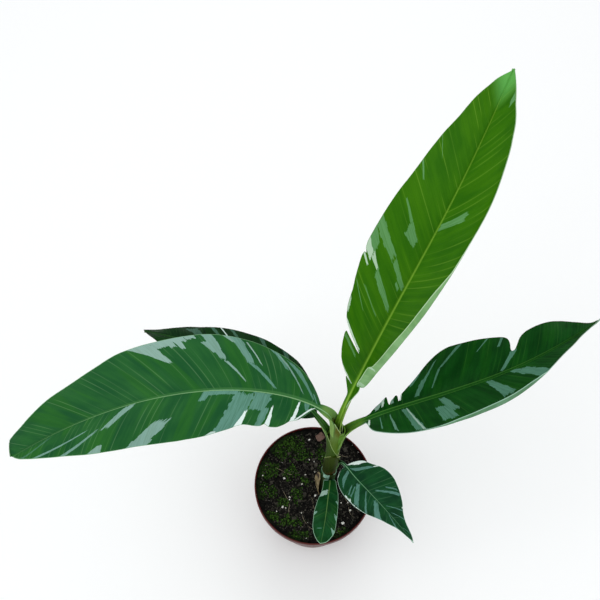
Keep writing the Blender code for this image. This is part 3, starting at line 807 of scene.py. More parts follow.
# Each strand starts and ends in a tooth of its own.
strands = over(offset, strand_width)
strand = maths("FLOOR", strands)
tooth = size_of(minus(minus(strands, strand), 0.5))
first_cut = times_plus(tooth, 0.7, times(line_noise(plus(strand, seed)), 0.65))
last_cut = times_plus(tooth, 0.7, times(line_noise(plus(times(strand, 1.7), plus(seed, 31.3))), 0.65))
started = maths("GREATER_THAN", run, times(first_cut, fray))
unfinished = maths("LESS_THAN", times_plus(last_cut, fray, run), 1.0)
mask = times(inside, times(started, unfinished))
plug(result["Tone"], maths("MAXIMUM", before, times(mask, tone)))


# The blade's own paint: green that varies between the veins, fine lines along them, the streaks'
# tones from grey-green to white, the rib with its bright line, the petiole and a thin margin.
def vein_noise(vein, out, across, outward, detail):
    """Noise that is fine across the veins and long along them."""
    place = new_node("CombineXYZ", vein)
    plug(place.inputs["X"], times(vein, across))
    plug(place.inputs["Y"], times(out, outward))
    return speckle(place.outputs["Vector"], 1.0, detail, 0.55)


blade_group, given, result = new_group(
    "leaf blade",
    ("Vein", "Out", "Arc", "Edge", "Tone", "Petiole", "Length", "Vein Step", "Rib Width", "Line At",
     "Line Mirror", "Line Width", "Margin Width", "Line Strength", "Pale From"),
    ("Green", "Deep Green", "Fresh Green", "Grey", "White", "Rib", "Rib Line", "Stalk", "Margin", "Tip"),
    (("Colour", "Color"), ("Height", "Float"), ("Gloss", "Float")),
)
vein, out, arc, edge, tone, petiole, length, vein_step, rib_width, line_at = given[:10]
line_mirror, line_width, margin_width, line_strength, pale_from = given[10:15]
green, deep_green, fresh_green, grey, white, rib, rib_line, stalk, margin, tip = given[15:]
# Green, with broad mottling, dark lines and valleys along the veins, and a few pale veins.
clouds = vein_noise(vein, out, 0.035, 1.6, 2)
bands = vein_noise(vein, out, 0.16, 1.1, 2)
lines = vein_noise(vein, out, 1.0, 2.0, 3)
fine_lines = vein_noise(vein, out, 3.2, 1.5, 2)
mottle = rising(times_plus(bands, 0.5, times(clouds, 0.5)), 0.36, 0.64)
face = blend(mottle, green, deep_green)
sectors = rising(vein_noise(vein, out, 0.075, 0.5, 1), 0.5, 0.6)
face = blend(times(sectors, 0.35), face, fresh_green)
wave = size_of(maths("SINE", times(over(vein, vein_step), math.pi)))
valley = falling(wave, 0.0, 0.35)
dark_lines = times_plus(
    valley, 0.4, times_plus(rising(lines, 0.48, 0.7), 0.35, times(rising(fine_lines, 0.5, 0.7), 0.3)),
)
face = blend(times(dark_lines, line_strength, clamp=True), face, deep_green)
some_veins = rising(vein_noise(vein, out, 0.4, 0.6, 1), 0.5, 0.62)
pale_veins = times(rising(wave, 0.95, 1.0), times(some_veins, 0.3))
face = blend(times(pale_veins, line_strength), face, rib_line)
# A streak is grey up to a tone of a half, and goes to white above it.
grey_lines = times_plus(rising(lines, 0.46, 0.62), 0.26, times(rising(fine_lines, 0.45, 0.65), 0.2))
grey_face = blend(grey_lines, grey, face)
paint = blend(times(tone, 2.0, clamp=True), face, grey_face)
white_face = blend(times(fine_lines, 0.25), white, grey)
paint = blend(times_plus(tone, 2.0, -1.0, clamp=True), paint, white_face)
# The rib and its line taper to the tip; the margin and the petiole have their own colours.
past_stalk = rising(vein, minus(petiole, 7.0), plus(petiole, 2.0))
gone = over(minus(vein, petiole), minus(length, petiole), clamp=True)
taper = minus(1.0, times(gone, 0.72))
# From Pale From on, the blade fades to the Tip colour, which is painted light on the tip.
painted_light_tip = rising(gone, pale_from, plus(pale_from, 0.075))
span = over(size_of(arc), taper)
on_rib = times(falling(span, times(rib_width, 0.55), rib_width), times(taper, 0.7))
paint = blend(on_rib, paint, rib)
near_edge = falling(edge, times(margin_width, 0.5), margin_width)
paint = blend(times(near_edge, past_stalk), paint, margin)
stalk_lines = blend(rising(speckle(arc, 2.1, 2), 0.42, 0.68), stalk, rib)
paint = blend(past_stalk, stalk_lines, paint)
mirrored = times_plus(minus(size_of(arc), arc), line_mirror, arc)
beside = size_of(minus(over(mirrored, taper), line_at))
on_line = times(falling(beside, times(line_width, 0.4), line_width), taper)
lined = blend(on_line, paint, rib_line)
plug(result["Colour"], blend(times(painted_light_tip, 0.8), lined, tip))
plug(result["Height"], times_plus(wave, 0.5, times_plus(lines, 0.4, times(fine_lines, 0.2))))
plug(result["Gloss"], times_plus(minus(bands, 0.5), 0.16, times(fine_lines, 0.08)))


def leaf_material(name, leaf, half, paint, roughness, gloss):
    """The paint of one face of one half of a leaf, with the streaks of that half."""
    material, tree, shader = new_material(name)
    guides = {guide: attribute(tree, guide) for guide in GUIDES}
    side = -1 if half == "left" else 1
    strands = (leaf.get("strand", 1.3), leaf.get("fray", 0.16))
    tone = 0.0
    for streak in leaf[half]["streaks"]:
        values = (tone, guides["vein"], guides["out"], side, *streak, *strands)
        tone = use_group(tree, streak_group, dict(zip(STREAK_INPUTS, values)))["Tone"]
    values = {
        **{guide.title(): place for guide, place in guides.items()}, "Tone": tone,
        "Petiole": float(leaf["petiole"]), "Length": float(leaf["rib"][-1][0]),
        "Vein Step": leaf["vein_step"], "Pale From": 2.0, "Tip": paint["Green"], **paint,
    }
    # The pale rim along the turned margin's edge is a painted highlight.
    if "turned_margin" in leaf[half]:
        last, painted_highlight_rim = leaf[half]["turned_margin"]
        on_painted_highlight = rising(guides["vein"], last - 8.0, last)
        values["Margin"] = blend(on_painted_highlight, colour(*painted_highlight_rim), paint["Margin"])
    blade = use_group(tree, blade_group, values)
    coat(
        shader, blade["Colour"], plus(blade["Gloss"], roughness),
        raised(blade["Height"], 0.2 * MM, 0.7), gloss,
    )
    return material


def make_leaf(name, leaf, paint, under_paint, slot, roughness=0.4, gloss=0.055):
    """Lay out a leaf's mesh and give each half its own paint, above and below.

    A leaf's table is in millimetres and degrees. root is the height where it leaves the trunk, and
    offset how far from the trunk's middle; rib gives distance, bearing and climb. Of each half, reach
    and margin say how far it goes out, from foot to tip. A streak has its veins, its shares of the way
    out and its widths at both ends, and its tone.
    """
    path = rib_path(leaf)
    rows = [leaf_row(leaf, path, u) for u in leaf_stations(leaf)]
    points, depths, guides = (np.concatenate([row[k] for row in rows]) for k in range(3))
    piece = lay_sheet(len(rows), len(rows[0][1]), points, depths, guides)
    skins = piece.data.materials
    for half in ("left", "right"):
        face = leaf_material(name + f" {half} face", leaf, half, paint, roughness, gloss)
        underside = leaf_material(name + f" {half} underside", leaf, half, under_paint, 0.62, 0.06)
        if half == "left":
            skins[0], skins[1] = face, underside
        else:
            skins.append(face)
            skins.append(underside)
    arcs = piece.data.attributes["arc"].data
    for face in piece.data.polygons:
        if sum(arcs[corner].value for corner in face.vertices) > 0:
            face.material_index += 2
    finish_piece(piece, name + "_blade", slot, name)


def leaf_paint(base=None, **looks):
    """The blade's paint from plain names, where three numbers are a colour."""
    paint = dict(base or {"Line At": 0.0, "Line Mirror": 0.0})
    for name, look in looks.items():
        paint[name.replace("_", " ").title()] = colour(*look) if isinstance(look, tuple) else look
    return paint


# The youngest leaf stands up out of the crown. It is bright yellow-green, with its right margin
# turned over to show the pale underside, and a lobe torn free beside its foot on the left.
leaf_up = dict(
    root=256.3, offset=0.4, hug=60, stub=9, rows=190,
    rib=(
        (0, 40, 88), (20, 44, 83), (62, 46, 74), (124, 43, 65), (196, 39, 54), (258, 32, 43), (323, 27, 38),
    ),
    petiole=52, girth=(3.2, 3.2, 2.7, 2.5), keel=(3.2, 3.2, 3.2, 2.8, 2.0, 1.2), bank=(0, 0),
    sweep=(-8, 14, 30, 38, 45, 50, 55, 58), ripple=(1.0, 4.0), flutter=0.4, pleat=0.13, vein_step=5.2,
    fine=((58, 114, 0.7), (147, 156, 0.7)),
    right=dict(
        reach=(2.5, 9, 21, 28.5, 34.5, 37, 35.5, 31.5, 25.5, 17, 8.5, 0), fold=(30, 30, 28, 26),
        sag=(22, 22, 22, 10), curl=(10, 50, 15, 0),
        margin=(
            (52, 2.5), (58, 2.8), (63, 4.2), (68, 6.4), (73, 8.2), (78, 8.9), (81, 7.8), (83.5, 4.6),
            (85, 4.8), (86.5, 9), (88.5, 12.4), (94, 14), (102, 15.6), (110, 17.6), (118, 20.2),
            (126, 22.8), (134, 25), (142, 27.2), (150, 29.6), (160, 32.6), (172, 35.6), (180, 36.8),
            (188, 36.6), (204, 35), (220, 31.4), (236, 27.2), (250, 23.8), (260, 20.8), (268, 18.5),
            (276, 15.7), (288, 11.3), (296, 8.8), (304, 6.3), (312, 3.7), (319, 1.4), (323, 0),
        ),
        rolled=(
            (52, 0.15), (84, 0.15), (87, 6), (97, 9.5), (108, 10.5), (110.5, 8), (122, 7), (131, 6.5),
            (140, 5.5), (150, 4.8), (160, 3.8), (168, 2.6), (175, 1), (179, 0.15), (200, 0.1), (323, 0.05),
        ),
        turn=84,
        streaks=(
            (220.5, 219.5, -0.02, 0.55, 4.5, 6.5, 0.5), (291.5, 300, 0.68, 1.2, 5, 10, 0.5),
            (90, 93, 0.9, 1.5, 3, 6, 0.2), (108, 110, 0.86, 1.4, 1.2, 3, 0.3),
        ),
    ),
    left=dict(
        reach=(2.5, 20, 24, 29, 34, 35, 32, 27, 21.5, 15, 8, 0), fold=(14, 12, 10, 8),
        sag=(-10, -16, -18, -10), curl=(0, 0), sweep=(40, 40, 40, 42, 46, 50, 55, 58),
        margin=(
            (52, 2.5), (58, 2.3), (62, 2.7), (66, 5), (70, 7.8), (72, 8.9), (72.7, 4.4), (73.4, 4.2),
            (74.3, 12), (76, 15), (79, 17.8), (83, 19.7), (88, 21.6), (93, 22.9), (97, 23.5), (98.6, 23),
            (99.6, 14), (100.6, 6.4), (101.4, 8.5), (102.4, 23), (104, 26.6), (107, 29), (112, 30.9),
            (118, 31.8), (124, 32.3), (132, 34), (140, 35.3), (148, 36.2), (150.5, 35.8), (152, 34),
            (153.6, 36.3), (158, 37.0), (166, 36.8), (176, 36.2), (184, 35.4), (192, 34.2), (200, 32.7),
            (208, 30.9), (216, 29.3), (224, 27.9), (232, 26.5), (240, 24.8), (248, 23.0), (256, 20.7),
            (264, 18.4), (272, 16.4), (280, 14.3), (288, 11.9), (296, 9.4), (304, 7), (312, 4.1),
            (319, 1.4), (323, 0),
        ),
        streaks=(
            (220, 225, 0.76, 1.05, 1.2, 2.2, 0.5), (240, 247, 0.7, 1.1, 0.5, 0.7, 0.45),
            (197, 195, 0.22, 0.54, 7, 10, 0.44), (199.4, 202, 0.46, 0.88, 3.2, 1.2, 0.44),
            (171, 174.6, 0.02, 0.45, 4.4, 5.6, 0.46), (174.4, 172.6, 0.4, 1.2, 5.4, 10, 0.46),
            (167, 168, 0.1, 0.22, 3, 2, 0.44), (150.2, 155, 0.06, 0.68, 4.4, 6.4, 0.48),
            (162, 164, 0.8, 1.2, 8, 16, 0.46), (156.4, 157.5, 0.64, 0.86, 2.2, 5.5, 0.75),
            (155, 158, 0.82, 1.2, 5, 9, 0.78), (149, 151, 0.84, 1.2, 1.5, 2.6, 0.8),
            (136.5, 139, 0.2, 0.85, 1.0, 1.6, 0.3), (125.7, 133, 0.6, 1.1, 0.7, 1.5, 0.4),
            (102.7, 104, 0.25, 1.2, 1.6, 3.0, 0.9), (95.5, 96.5, 0.35, 1.0, 1.8, 3.2, 0.4),
            (73.6, 76, 0.1, 0.9, 0.8, 1.6, 0.9), (113, 116, 1.09, 1.3, 8, 18, 0.75),
        ),
    ),
)
# The young leaf's pale bluish tip colour is painted light on its tip.
UP_GREEN = leaf_paint(
    green=(54, 112, 2), deep_green=(40, 98, 1), fresh_green=(64, 120, 2), grey=(96, 150, 92),
    white=(226, 246, 226), rib=(88, 142, 26), rib_line=(134, 180, 62), stalk=(100, 140, 30),
    margin=(74, 120, 34), rib_width=2.2, line_width=1.15, margin_width=0.3, line_strength=0.8,
    pale_from=0.895, tip=(98, 176, 84),
)
UP_UNDER = leaf_paint(
    UP_GREEN, green=(134, 178, 122), deep_green=(108, 154, 96), fresh_green=(134, 178, 118),
    grey=(196, 222, 200), rib=(140, 176, 84), rib_line=(170, 200, 110), margin=(186, 216, 176),
    margin_width=0.5, line_strength=0.5,
)
make_leaf("leaf_up", leaf_up, UP_GREEN, UP_UNDER, "leaf_young", 0.44)

# The long left leaf arches out level and droops at its blunt tip. It is mid green with grey-green
# sectors that follow its veins, white where they reach the margin near its foot.
leaf_left = dict(
    root=256.3, offset=4.3, rows=200,
    rib=(
        (0, -68, 90), (20, -70, 88), (42, -82, 57), (71, -87, 37), (132, -98, 16), (204, -103, -12),
        (301, -111, -28),
    ),
    petiole=50, girth=(6.6, 6.2, 5.2, 3.2), keel=(1.0, 2.6, 3.4, 2.8, 2.0, 1.2), bank=(8, 8, 4),
    sweep=(-10, 12, 26, 36, 44, 50, 55, 58), ripple=(1.6, 4.0), flutter=0.5, pleat=0.1, vein_step=4.4,
    fine=((60, 114, 0.9), (288, 300.5, 0.8)),
    right=dict(
        reach=(3, 25, 38, 43, 42.5, 42, 37.2, 33.6, 28, 21, 14, 0), fold=(16, 16, 14, 12),
        sag=(-34, -38, -36, -20), curl=(0, 0),
        margin=(
            (50, 3), (58, 11.1), (66, 19), (74, 25.9), (82, 31.3), (90, 35.6), (98, 38.9), (110, 41.9),
            (122, 43.4), (134, 43.8), (146, 43.8), (154, 43.4), (162, 42.4), (170, 40.7), (178, 38.5),
            (186, 36.2), (194, 34.5), (202, 33.0), (210, 31.7), (218, 30.2), (226, 28.1), (234, 25.6),
            (242, 23.1), (250, 20.8), (258, 18.9), (266, 17.2), (274, 15.4), (282, 13.1), (289, 10.1),
            (295, 6.6), (299, 3.2), (301, 0.3),
        ),
        streaks=(
            (151, 161, 0.49, 1.2, 1.5, 19, 0.6), (146.5, 147.5, 0.83, 1.2, 9, 9, 0.6),
            (141.8, 142, 0.8, 1.2, 3, 6, 0.6), (137.5, 138, 0.72, 1.2, 1.8, 7, 0.6),
            (134.5, 134.5, 0.88, 1.2, 4, 4, 0.6), (129.5, 130, 0.92, 1.2, 6, 6, 0.6),
            (112.6, 120.8, 0.1, 0.52, 0.9, 2.4, 0.58), (120.8, 121.2, 0.46, 1.1, 3.4, 6.5, 0.56),
            (123, 124.4, 0.6, 0.86, 2, 5, 0.56), (108.5, 113, 0.84, 1.1, 1.5, 4.5, 0.58),
            (90.6, 105.2, 0.05, 0.5, 2.2, 4.2, 0.5), (105, 107, 0.44, 1.1, 4.4, 6.5, 0.52),
            (98, 101.8, 0.45, 0.97, 0.7, 1.0, 0.64), (68, 86, 0.14, 1.0, 0.9, 2.6, 0.56),
            (81, 87, 0.6, 1.05, 2, 4.4, 0.48), (58, 78, 0.25, 0.95, 3.0, 7.5, 0.46),
            (54, 60, 0.2, 0.6, 2.0, 3.0, 0.48),
        ),
    ),
    left=dict(
        reach=(3, 21, 28, 32, 35, 34, 30, 26, 20, 14, 8, 0), fold=(10, 8, 8, 8), sag=(-50, -56, -50, -30),
        curl=(0, 0),
        margin=(
            (50, 3), (54, 2.8), (57, 3.8), (60, 7.6), (64, 12.6), (68, 16.2), (71, 17.6), (74, 18.9),
            (77, 22.5), (82, 26), (86, 26.4), (89, 25.4), (91, 24.2), (94, 26.3), (98, 26.4), (102, 25.9),
            (106, 25.6), (110, 26.6), (114, 28.8), (122, 31.8), (130, 34.3), (138, 35), (146, 35),
            (154, 34.2), (166, 32.6), (178, 31), (190, 29.9), (202, 27.8), (214, 25), (226, 21.6),
            (238, 18.3), (250, 15.3), (262, 12.1), (274, 8.8), (282, 6.5), (290, 4.2), (296, 2.2),
            (301, 0.3),
        ),
        streaks=(
            (132, 132, -0.01, 0.13, 26, 24, 0.5), (143.5, 144, 0.0, 0.24, 5.5, 4, 0.5),
            (115, 117, -0.01, 1.12, 14, 16, 0.5), (101.5, 102, -0.01, 0.52, 14, 12, 0.48),
            (96, 95.5, 0.4, 1.1, 5, 5, 0.5), (109, 110.5, 0.45, 1.1, 1.2, 6.5, 1.0),
            (91.5, 88.8, 0.33, 1.12, 0.8, 4.5, 0.97), (71, 73, 0.03, 1.1, 0.9, 4.5, 1.0),
            (55.5, 72, 0.28, 0.96, 3, 4, 0.97), (64, 63, 0.05, 0.5, 5, 3, 0.46),
            (164.1, 181, 0.46, 1.1, 12, 14.5, 0.57), (196.5, 210, 0.0, 0.48, 7, 7, 0.56),
            (214, 246, 0.4, 1.1, 2.6, 6, 0.54), (222.8, 272, 0.33, 0.98, 2.0, 8, 0.54),
            (206.5, 212, 0.8, 1.1, 2.5, 20, 0.58), (262, 290, 0.1, 1.0, 3, 6, 0.2),
            (125, 128, 0.92, 1.1, 3, 12, 0.8),
        ),
    ),
)
LEFT_GREEN = leaf_paint(
    green=(38, 96, 44), deep_green=(24, 80, 40), fresh_green=(44, 108, 22), grey=(98, 146, 130),
    white=(240, 254, 250), rib=(72, 128, 70), rib_line=(140, 184, 132), stalk=(116, 152, 74),
    margin=(120, 166, 120), rib_width=2.0, line_at=-0.9, line_width=0.62, margin_width=0.4,
    line_strength=0.6,
)
LEFT_UNDER = leaf_paint(
    LEFT_GREEN, green=(96, 140, 88), deep_green=(74, 120, 66), fresh_green=(96, 140, 88),
    grey=(150, 186, 162), rib=(130, 164, 86), rib_line=(150, 180, 104), line_at=0.0, line_strength=0.5,
)
make_leaf("leaf_left", leaf_left, LEFT_GREEN, LEFT_UNDER, "leaf_mid", 0.42)

# The right leaf is older and darker. A bite with rounded shoulders is torn out of its far side,
# its foot is torn into strips there, and its near margin is turned over.
leaf_right = dict(
    root=228, offset=5.76, rows=180,
    rib=(
        (0, 76, 90), (16, 78, 81), (35, 80, 58), (65, 83, 38), (128, 79, 22), (197, 63, 0), (280, 48, -31),
    ),
    petiole=52, girth=(6.6, 6.0, 4.2, 2.8), keel=(0.9, 2.6, 3.2, 2.7, 2.0, 1.2), bank=(0, 0),
    sweep=(-8, 14, 28, 38, 45, 50, 55, 58), ripple=(1.5, 4.0), flutter=0.4, pleat=0.1, vein_step=4.2,
    fine=((54, 92, 0.6), (156, 186, 0.6)), fray=0.12,
    right=dict(
        # the pale colour is a painted highlight along the turned edge
        turned_margin=(182, (150, 188, 166)),
        reach=(2.6, 20, 30.5, 33, 31, 26, 20, 14.5, 9.5, 5, 2, 0), fold=(26, 28, 36, 42),
        sag=(-10, -8, -6, -6), curl=(0, 40, 50, 20),
        margin=(
            (52, 2.6), (55, 5.5), (58, 10.5), (62, 14.8), (68, 19.2), (76, 24.2), (84, 27.6), (92, 29.4),
            (100, 30.6), (108, 31.6), (116, 31.6), (124, 30.2), (132, 29), (140, 27.4), (156, 23),
            (172, 18), (188, 13.6), (204, 9.6), (220, 6.6), (236, 3.6), (248, 2.2), (260, 1.2), (272, 0.6),
            (280, 0.2),
        ),
        rolled=(
            (52, 0.2), (84, 0.3), (96, 1.8), (112, 3.8), (132, 5.4), (150, 5.6), (164, 4.2), (174, 2.2),
            (184, 0.8), (194, 0.15), (280, 0.1),
        ),
        turn=80,
        streaks=(
            (173.4, 174.6, 0.05, 0.22, 4, 9, 0.48), (176.4, 174.4, 0.15, 1.1, 9.4, 12, 0.48),
            (153.4, 146.8, 0.05, 0.8, 4.0, 8.6, 0.48), (116, 116, 0.09, 0.6, 4.5, 6.5, 0.48),
            (111.2, 109.3, 0.34, 0.82, 8, 9, 0.48), (86.6, 91.6, 0.06, 1.0, 4.5, 6.8, 0.44),
            (88.4, 93, 0.06, 1.0, 0.8, 1.5, 0.66), (74.3, 77.4, 0.14, 1.0, 0.7, 2.3, 0.52),
            (66, 68, 0.2, 1.0, 0.6, 1.2, 0.5), (56, 56, 0.3, 1.2, 1.5, 2.5, 0.9),
        ),
    ),
    left=dict(
        reach=(2.6, 9, 18, 31, 33, 29, 25, 22, 16.5, 9.5, 4, 0), fold=(16, 14, 12, 10),
        sag=(-24, -26, -24, -20), curl=(0, 0),
        margin=(
            (52, 2.6), (57, 3.3), (60, 5), (64, 7), (68, 8.6), (71, 10.4), (73, 11.4), (74, 9), (74.7, 4.6),
            (75.6, 4.4), (76.6, 6.4), (79, 8.4), (81, 9.8), (82, 9.4), (82.8, 5), (83.5, 4.8), (84.6, 8.6),
            (88, 12.2), (92, 16.4), (96, 21.5), (100, 27), (104, 31), (108, 33.8), (112, 35.4), (116, 35.9),
            (120, 35.3), (128, 33.8), (136, 32.6), (144, 31.1), (152, 29.3), (158, 27.5), (161, 26.2),
            (164, 24.2), (166.5, 21.2), (168, 18), (169, 14.5), (171, 12.7), (173, 12.9), (174.2, 15.5),
            (175.5, 19.4), (178, 21.3), (182, 22.3), (188, 22.3), (196, 21.8), (204, 20.8), (212, 19.3),
            (220, 17.0), (228, 13.4), (236, 9.8), (244, 6.8), (252, 4.4), (258, 3.0), (264, 1.9),
            (272, 0.9), (280, 0.2),
        ),
        streaks=(
            (97.4, 102.2, 0.16, 0.72, 3.4, 5.2, 0.44), (102.4, 108, 0.64, 1.05, 3.2, 1.4, 0.44),
            (109.4, 112.7, 0.2, 0.7, 0.9, 2.2, 0.44), (112.7, 126, 0.66, 1.04, 3.0, 4.0, 0.44),
            (139.5, 149, 0.68, 1.05, 0.7, 1.6, 0.46), (157.6, 160, 0.7, 1.0, 2.2, 3, 0.46),
            (165.3, 172.6, 0.04, 0.52, 2.6, 6.0, 0.48), (64, 66, 0.5, 1.3, 3, 8, 0.6),
            (69.5, 70.5, 0.55, 1.3, 1.6, 3.2, 0.8), (77.5, 78, 0.35, 1.1, 2, 4, 0.56),
            (84.2, 86, 0.3, 1.2, 0.8, 2.4, 0.95), (92, 95, 0.75, 1.3, 2, 10, 0.5),
        ),
    ),
)
DARK_GREEN = leaf_paint(
    green=(12, 70, 16), deep_green=(2, 52, 8), fresh_green=(20, 82, 8), grey=(80, 127, 106),
    white=(230, 246, 238), rib=(38, 96, 30), rib_line=(66, 120, 46), stalk=(96, 136, 42),
    margin=(70, 62, 40), rib_width=1.9, line_at=1.5, line_mirror=1.0, line_width=0.5, margin_width=0.3,
    line_strength=0.7,
)
DARK_UNDER = leaf_paint(
    DARK_GREEN, green=(104, 146, 112), deep_green=(84, 126, 90), fresh_green=(104, 146, 112),
    grey=(156, 186, 166), rib=(118, 150, 84), rib_line=(140, 168, 100), margin=(170, 204, 184),
    margin_width=0.5, line_strength=0.5,
)
make_leaf("leaf_right", leaf_right, DARK_GREEN, DARK_UNDER, "leaf_dark", 0.4, 0.045)

# The back leaf lies mostly under the left one, so its paint is the darkest, as painted shade, and bluish. It
# isn't torn, and its long petiole leaves the trunk at the back.
leaf_back = dict(
    root=210, offset=6.3, rows=150,
    rib=(
        (0, -42, 90), (17, -50, 87), (43, -58, 64), (76, -58, 42), (123, -64, 15), (180, -66, -17),
        (248, -57, -38),
    ),
    petiole=58, girth=(6.0, 5.0, 3.6, 2.4), keel=(0.9, 2.6, 3.2, 2.6, 1.9, 1.2), bank=(-10, -10, -6),
    sweep=(-8, 14, 28, 38, 45, 50, 55, 58), ripple=(1.2, 4.0), flutter=0.3, pleat=0.1, vein_step=4.2,
    right=dict(
        reach=(2.4, 17, 27, 29, 27, 23, 19, 14, 10, 6, 3, 0), fold=(14, 12, 12, 10),
        sag=(-26, -30, -30, -20), curl=(0, 0),
        margin=(
            (58, 2.4), (62, 6.2), (66, 10.4), (70, 14.8), (74, 18.4), (78, 21), (82, 24), (86, 26.2),
            (90, 27.4), (98, 27.2), (106, 26.7), (114, 27), (122, 26.8), (130, 26.5), (138, 25.5),
            (146, 23.1), (154, 20.5), (162, 18.4), (170, 17.6), (178, 17.2), (186, 15.5), (194, 12.4),
            (202, 9), (210, 7.1), (218, 6.3), (226, 5.6), (234, 4), (242, 1.8), (248, 0.2),
        ),
        streaks=(
            (142, 152, 0.3, 1.1, 0.8, 1.4, 0.95), (150, 161, 0.3, 1.1, 2, 5, 0.3),
            (133, 142, 0.3, 1.1, 2, 3.5, 0.28), (112, 120, 0.4, 1.1, 2, 5, 0.28),
            (96, 101, 0.5, 1.1, 2, 6, 0.24), (172, 182, 0.3, 1.1, 6, 16, 0.24),
            (82, 80, 0.1, 1.0, 2, 5, 0.3),
        ),
    ),
    left=dict(
        reach=(2.4, 17, 27, 29, 28, 25, 21, 16, 11, 7, 3.5, 0), fold=(14, 12, 12, 10),
        sag=(-26, -30, -30, -20), curl=(0, 0),
        streaks=(
            (110, 118, 0.1, 1.1, 5, 9, 0.36), (140, 150, 0.2, 1.1, 3, 4, 0.46),
            (180, 196, 0.1, 1.1, 6, 9, 0.36), (84, 86, 0.1, 1.1, 2, 4, 0.46),
        ),
    ),
)
BLUE_GREEN = leaf_paint(
    green=(10, 50, 15), deep_green=(3, 36, 9), fresh_green=(10, 58, 4), grey=(84, 126, 108),
    white=(222, 240, 234), rib=(40, 90, 38), rib_line=(66, 116, 50), stalk=(52, 92, 24),
    margin=(48, 46, 26), rib_width=1.7, line_at=1.3, line_mirror=1.0, line_width=0.5, margin_width=0.35,
    line_strength=0.6,
)
BLUE_UNDER = leaf_paint(
    BLUE_GREEN, green=(84, 126, 90), deep_green=(66, 108, 72), fresh_green=(84, 126, 90),
    grey=(144, 178, 160), rib=(116, 148, 84), rib_line=(136, 166, 98), margin=(120, 146, 104),
    line_strength=0.5,
)
make_leaf("leaf_back", leaf_back, BLUE_GREEN, BLUE_UNDER, "leaf_shaded", 0.42, 0.04)

# The small leaf hangs over the pot's right front edge: dark green with many grey-green sectors
# and a white margin round its foot. Its sheath faces another way than its petiole does.
leaf_small = dict(
    root=172, offset=7.1, rows=120, faces=175, gap=0.3,
    rib=((0, 110, 90), (12, 128, 78), (25, 144, 26), (48, 139, 6), (77, 136, -13), (115, 135, -30)),
    petiole=26, girth=(4.2, 3.0, 1.7, 1.7), keel=(0.9, 1.6, 2.0, 1.7, 1.3, 0.9), bank=(0, 0),
    sweep=(-12, 12, 28, 38, 45, 52), ripple=(0.8, 3.0), flutter=0.4, pleat=0.08, vein_step=3.4, groove=0.35,
    strand=0.9,
    right=dict(
        reach=(1.7, 14, 18, 16, 12, 8, 5, 2.5, 0), fold=(10, 8, 6), sag=(-14, -20, -16), curl=(0, 0),
        margin=(
            (26, 1.7), (27.5, 6), (29.5, 9.6), (33, 14), (37.6, 17.2), (43, 18.6), (50, 18.6), (56, 17.2),
            (61, 15.4), (66, 13), (71, 10.7), (76, 8.8), (81, 7.3), (86, 5.7), (91, 4.1), (96, 3),
            (101, 2.2), (108, 1.2), (115, 0.1),
        ),
        streaks=(
            (31, 37.2, 0.08, 1.02, 2.2, 4.6, 0.48), (42, 44.4, 0.4, 0.92, 0.6, 1.2, 0.48),
            (44.8, 46, 0.3, 0.9, 0.7, 1.2, 0.46), (45.4, 52.8, 0.04, 1.05, 3.2, 4.6, 0.46),
            (54, 61, 0.02, 1.05, 0.8, 2.2, 0.44), (65.5, 73, 0.03, 1.1, 4.6, 7.4, 0.46),
            (80.8, 99, 0.04, 1.1, 1.2, 5, 0.46), (46.5, 47.5, 0.9, 1.3, 0.8, 2.2, 0.95),
            (51, 51, 0.98, 1.3, 15, 18, 0.9), (30, 30, 1.34, 2.2, 4, 6, 0.95),
        ),
    ),
    left=dict(
        reach=(1.7, 20, 25, 22, 16.5, 10.5, 6, 3, 0), fold=(10, 8, 6), sag=(-14, -20, -16), curl=(0, 0),
        margin=(
            (26, 1.7), (27.2, 5.5), (29, 9.6), (31, 13.6), (33.5, 16.4), (36, 17.8), (38.5, 19.4),
            (41, 21.5), (43.5, 23.6), (46, 25.1), (50, 25.8), (53.5, 25.4), (58.5, 23.3), (66, 19.4),
            (71, 16.8), (76, 14), (81, 11.1), (86, 8.6), (91, 6.5), (96, 4.9), (101, 3.8), (106, 2.9),
            (111, 1.6), (115, 0.1),
        ),
        streaks=(
            (29, 31, 0.6, 1.7, 5, 15, 0.97), (32, 41, 0.1, 0.85, 4.6, 2.6, 0.47),
            (40.5, 43, 0.78, 1.1, 0.8, 1.6, 0.85), (57.4, 62.4, 0.56, 0.97, 0.8, 1.8, 0.45),
            (57.6, 67, 0.16, 1.05, 1.2, 3.2, 0.46), (73.6, 81, 0.12, 1.05, 0.5, 1.0, 0.5),
            (80.6, 90.5, 0.1, 1.05, 0.6, 1.3, 0.5), (77.5, 78, 0.93, 1.2, 1, 3, 0.9),
            (98, 106, 0.1, 1.05, 0.8, 1.8, 0.3),
        ),
    ),
)
SMALL_GREEN = leaf_paint(
    green=(22, 72, 40), deep_green=(10, 52, 28), fresh_green=(24, 80, 34), grey=(88, 134, 122),
    white=(236, 248, 244), rib=(20, 76, 42), rib_line=(116, 164, 124), stalk=(40, 80, 32),
    margin=(186, 214, 200), rib_width=1.4, line_width=0.45, margin_width=0.3, line_strength=0.5,
)
SMALL_UNDER = leaf_paint(
    SMALL_GREEN, green=(92, 134, 100), deep_green=(72, 114, 80), fresh_green=(92, 134, 100),
    grey=(146, 182, 166), rib=(116, 150, 92), rib_line=(136, 166, 106), line_strength=0.4,
)
make_leaf("leaf_small", leaf_small, SMALL_GREEN, SMALL_UNDER, "leaf_small", 0.38)

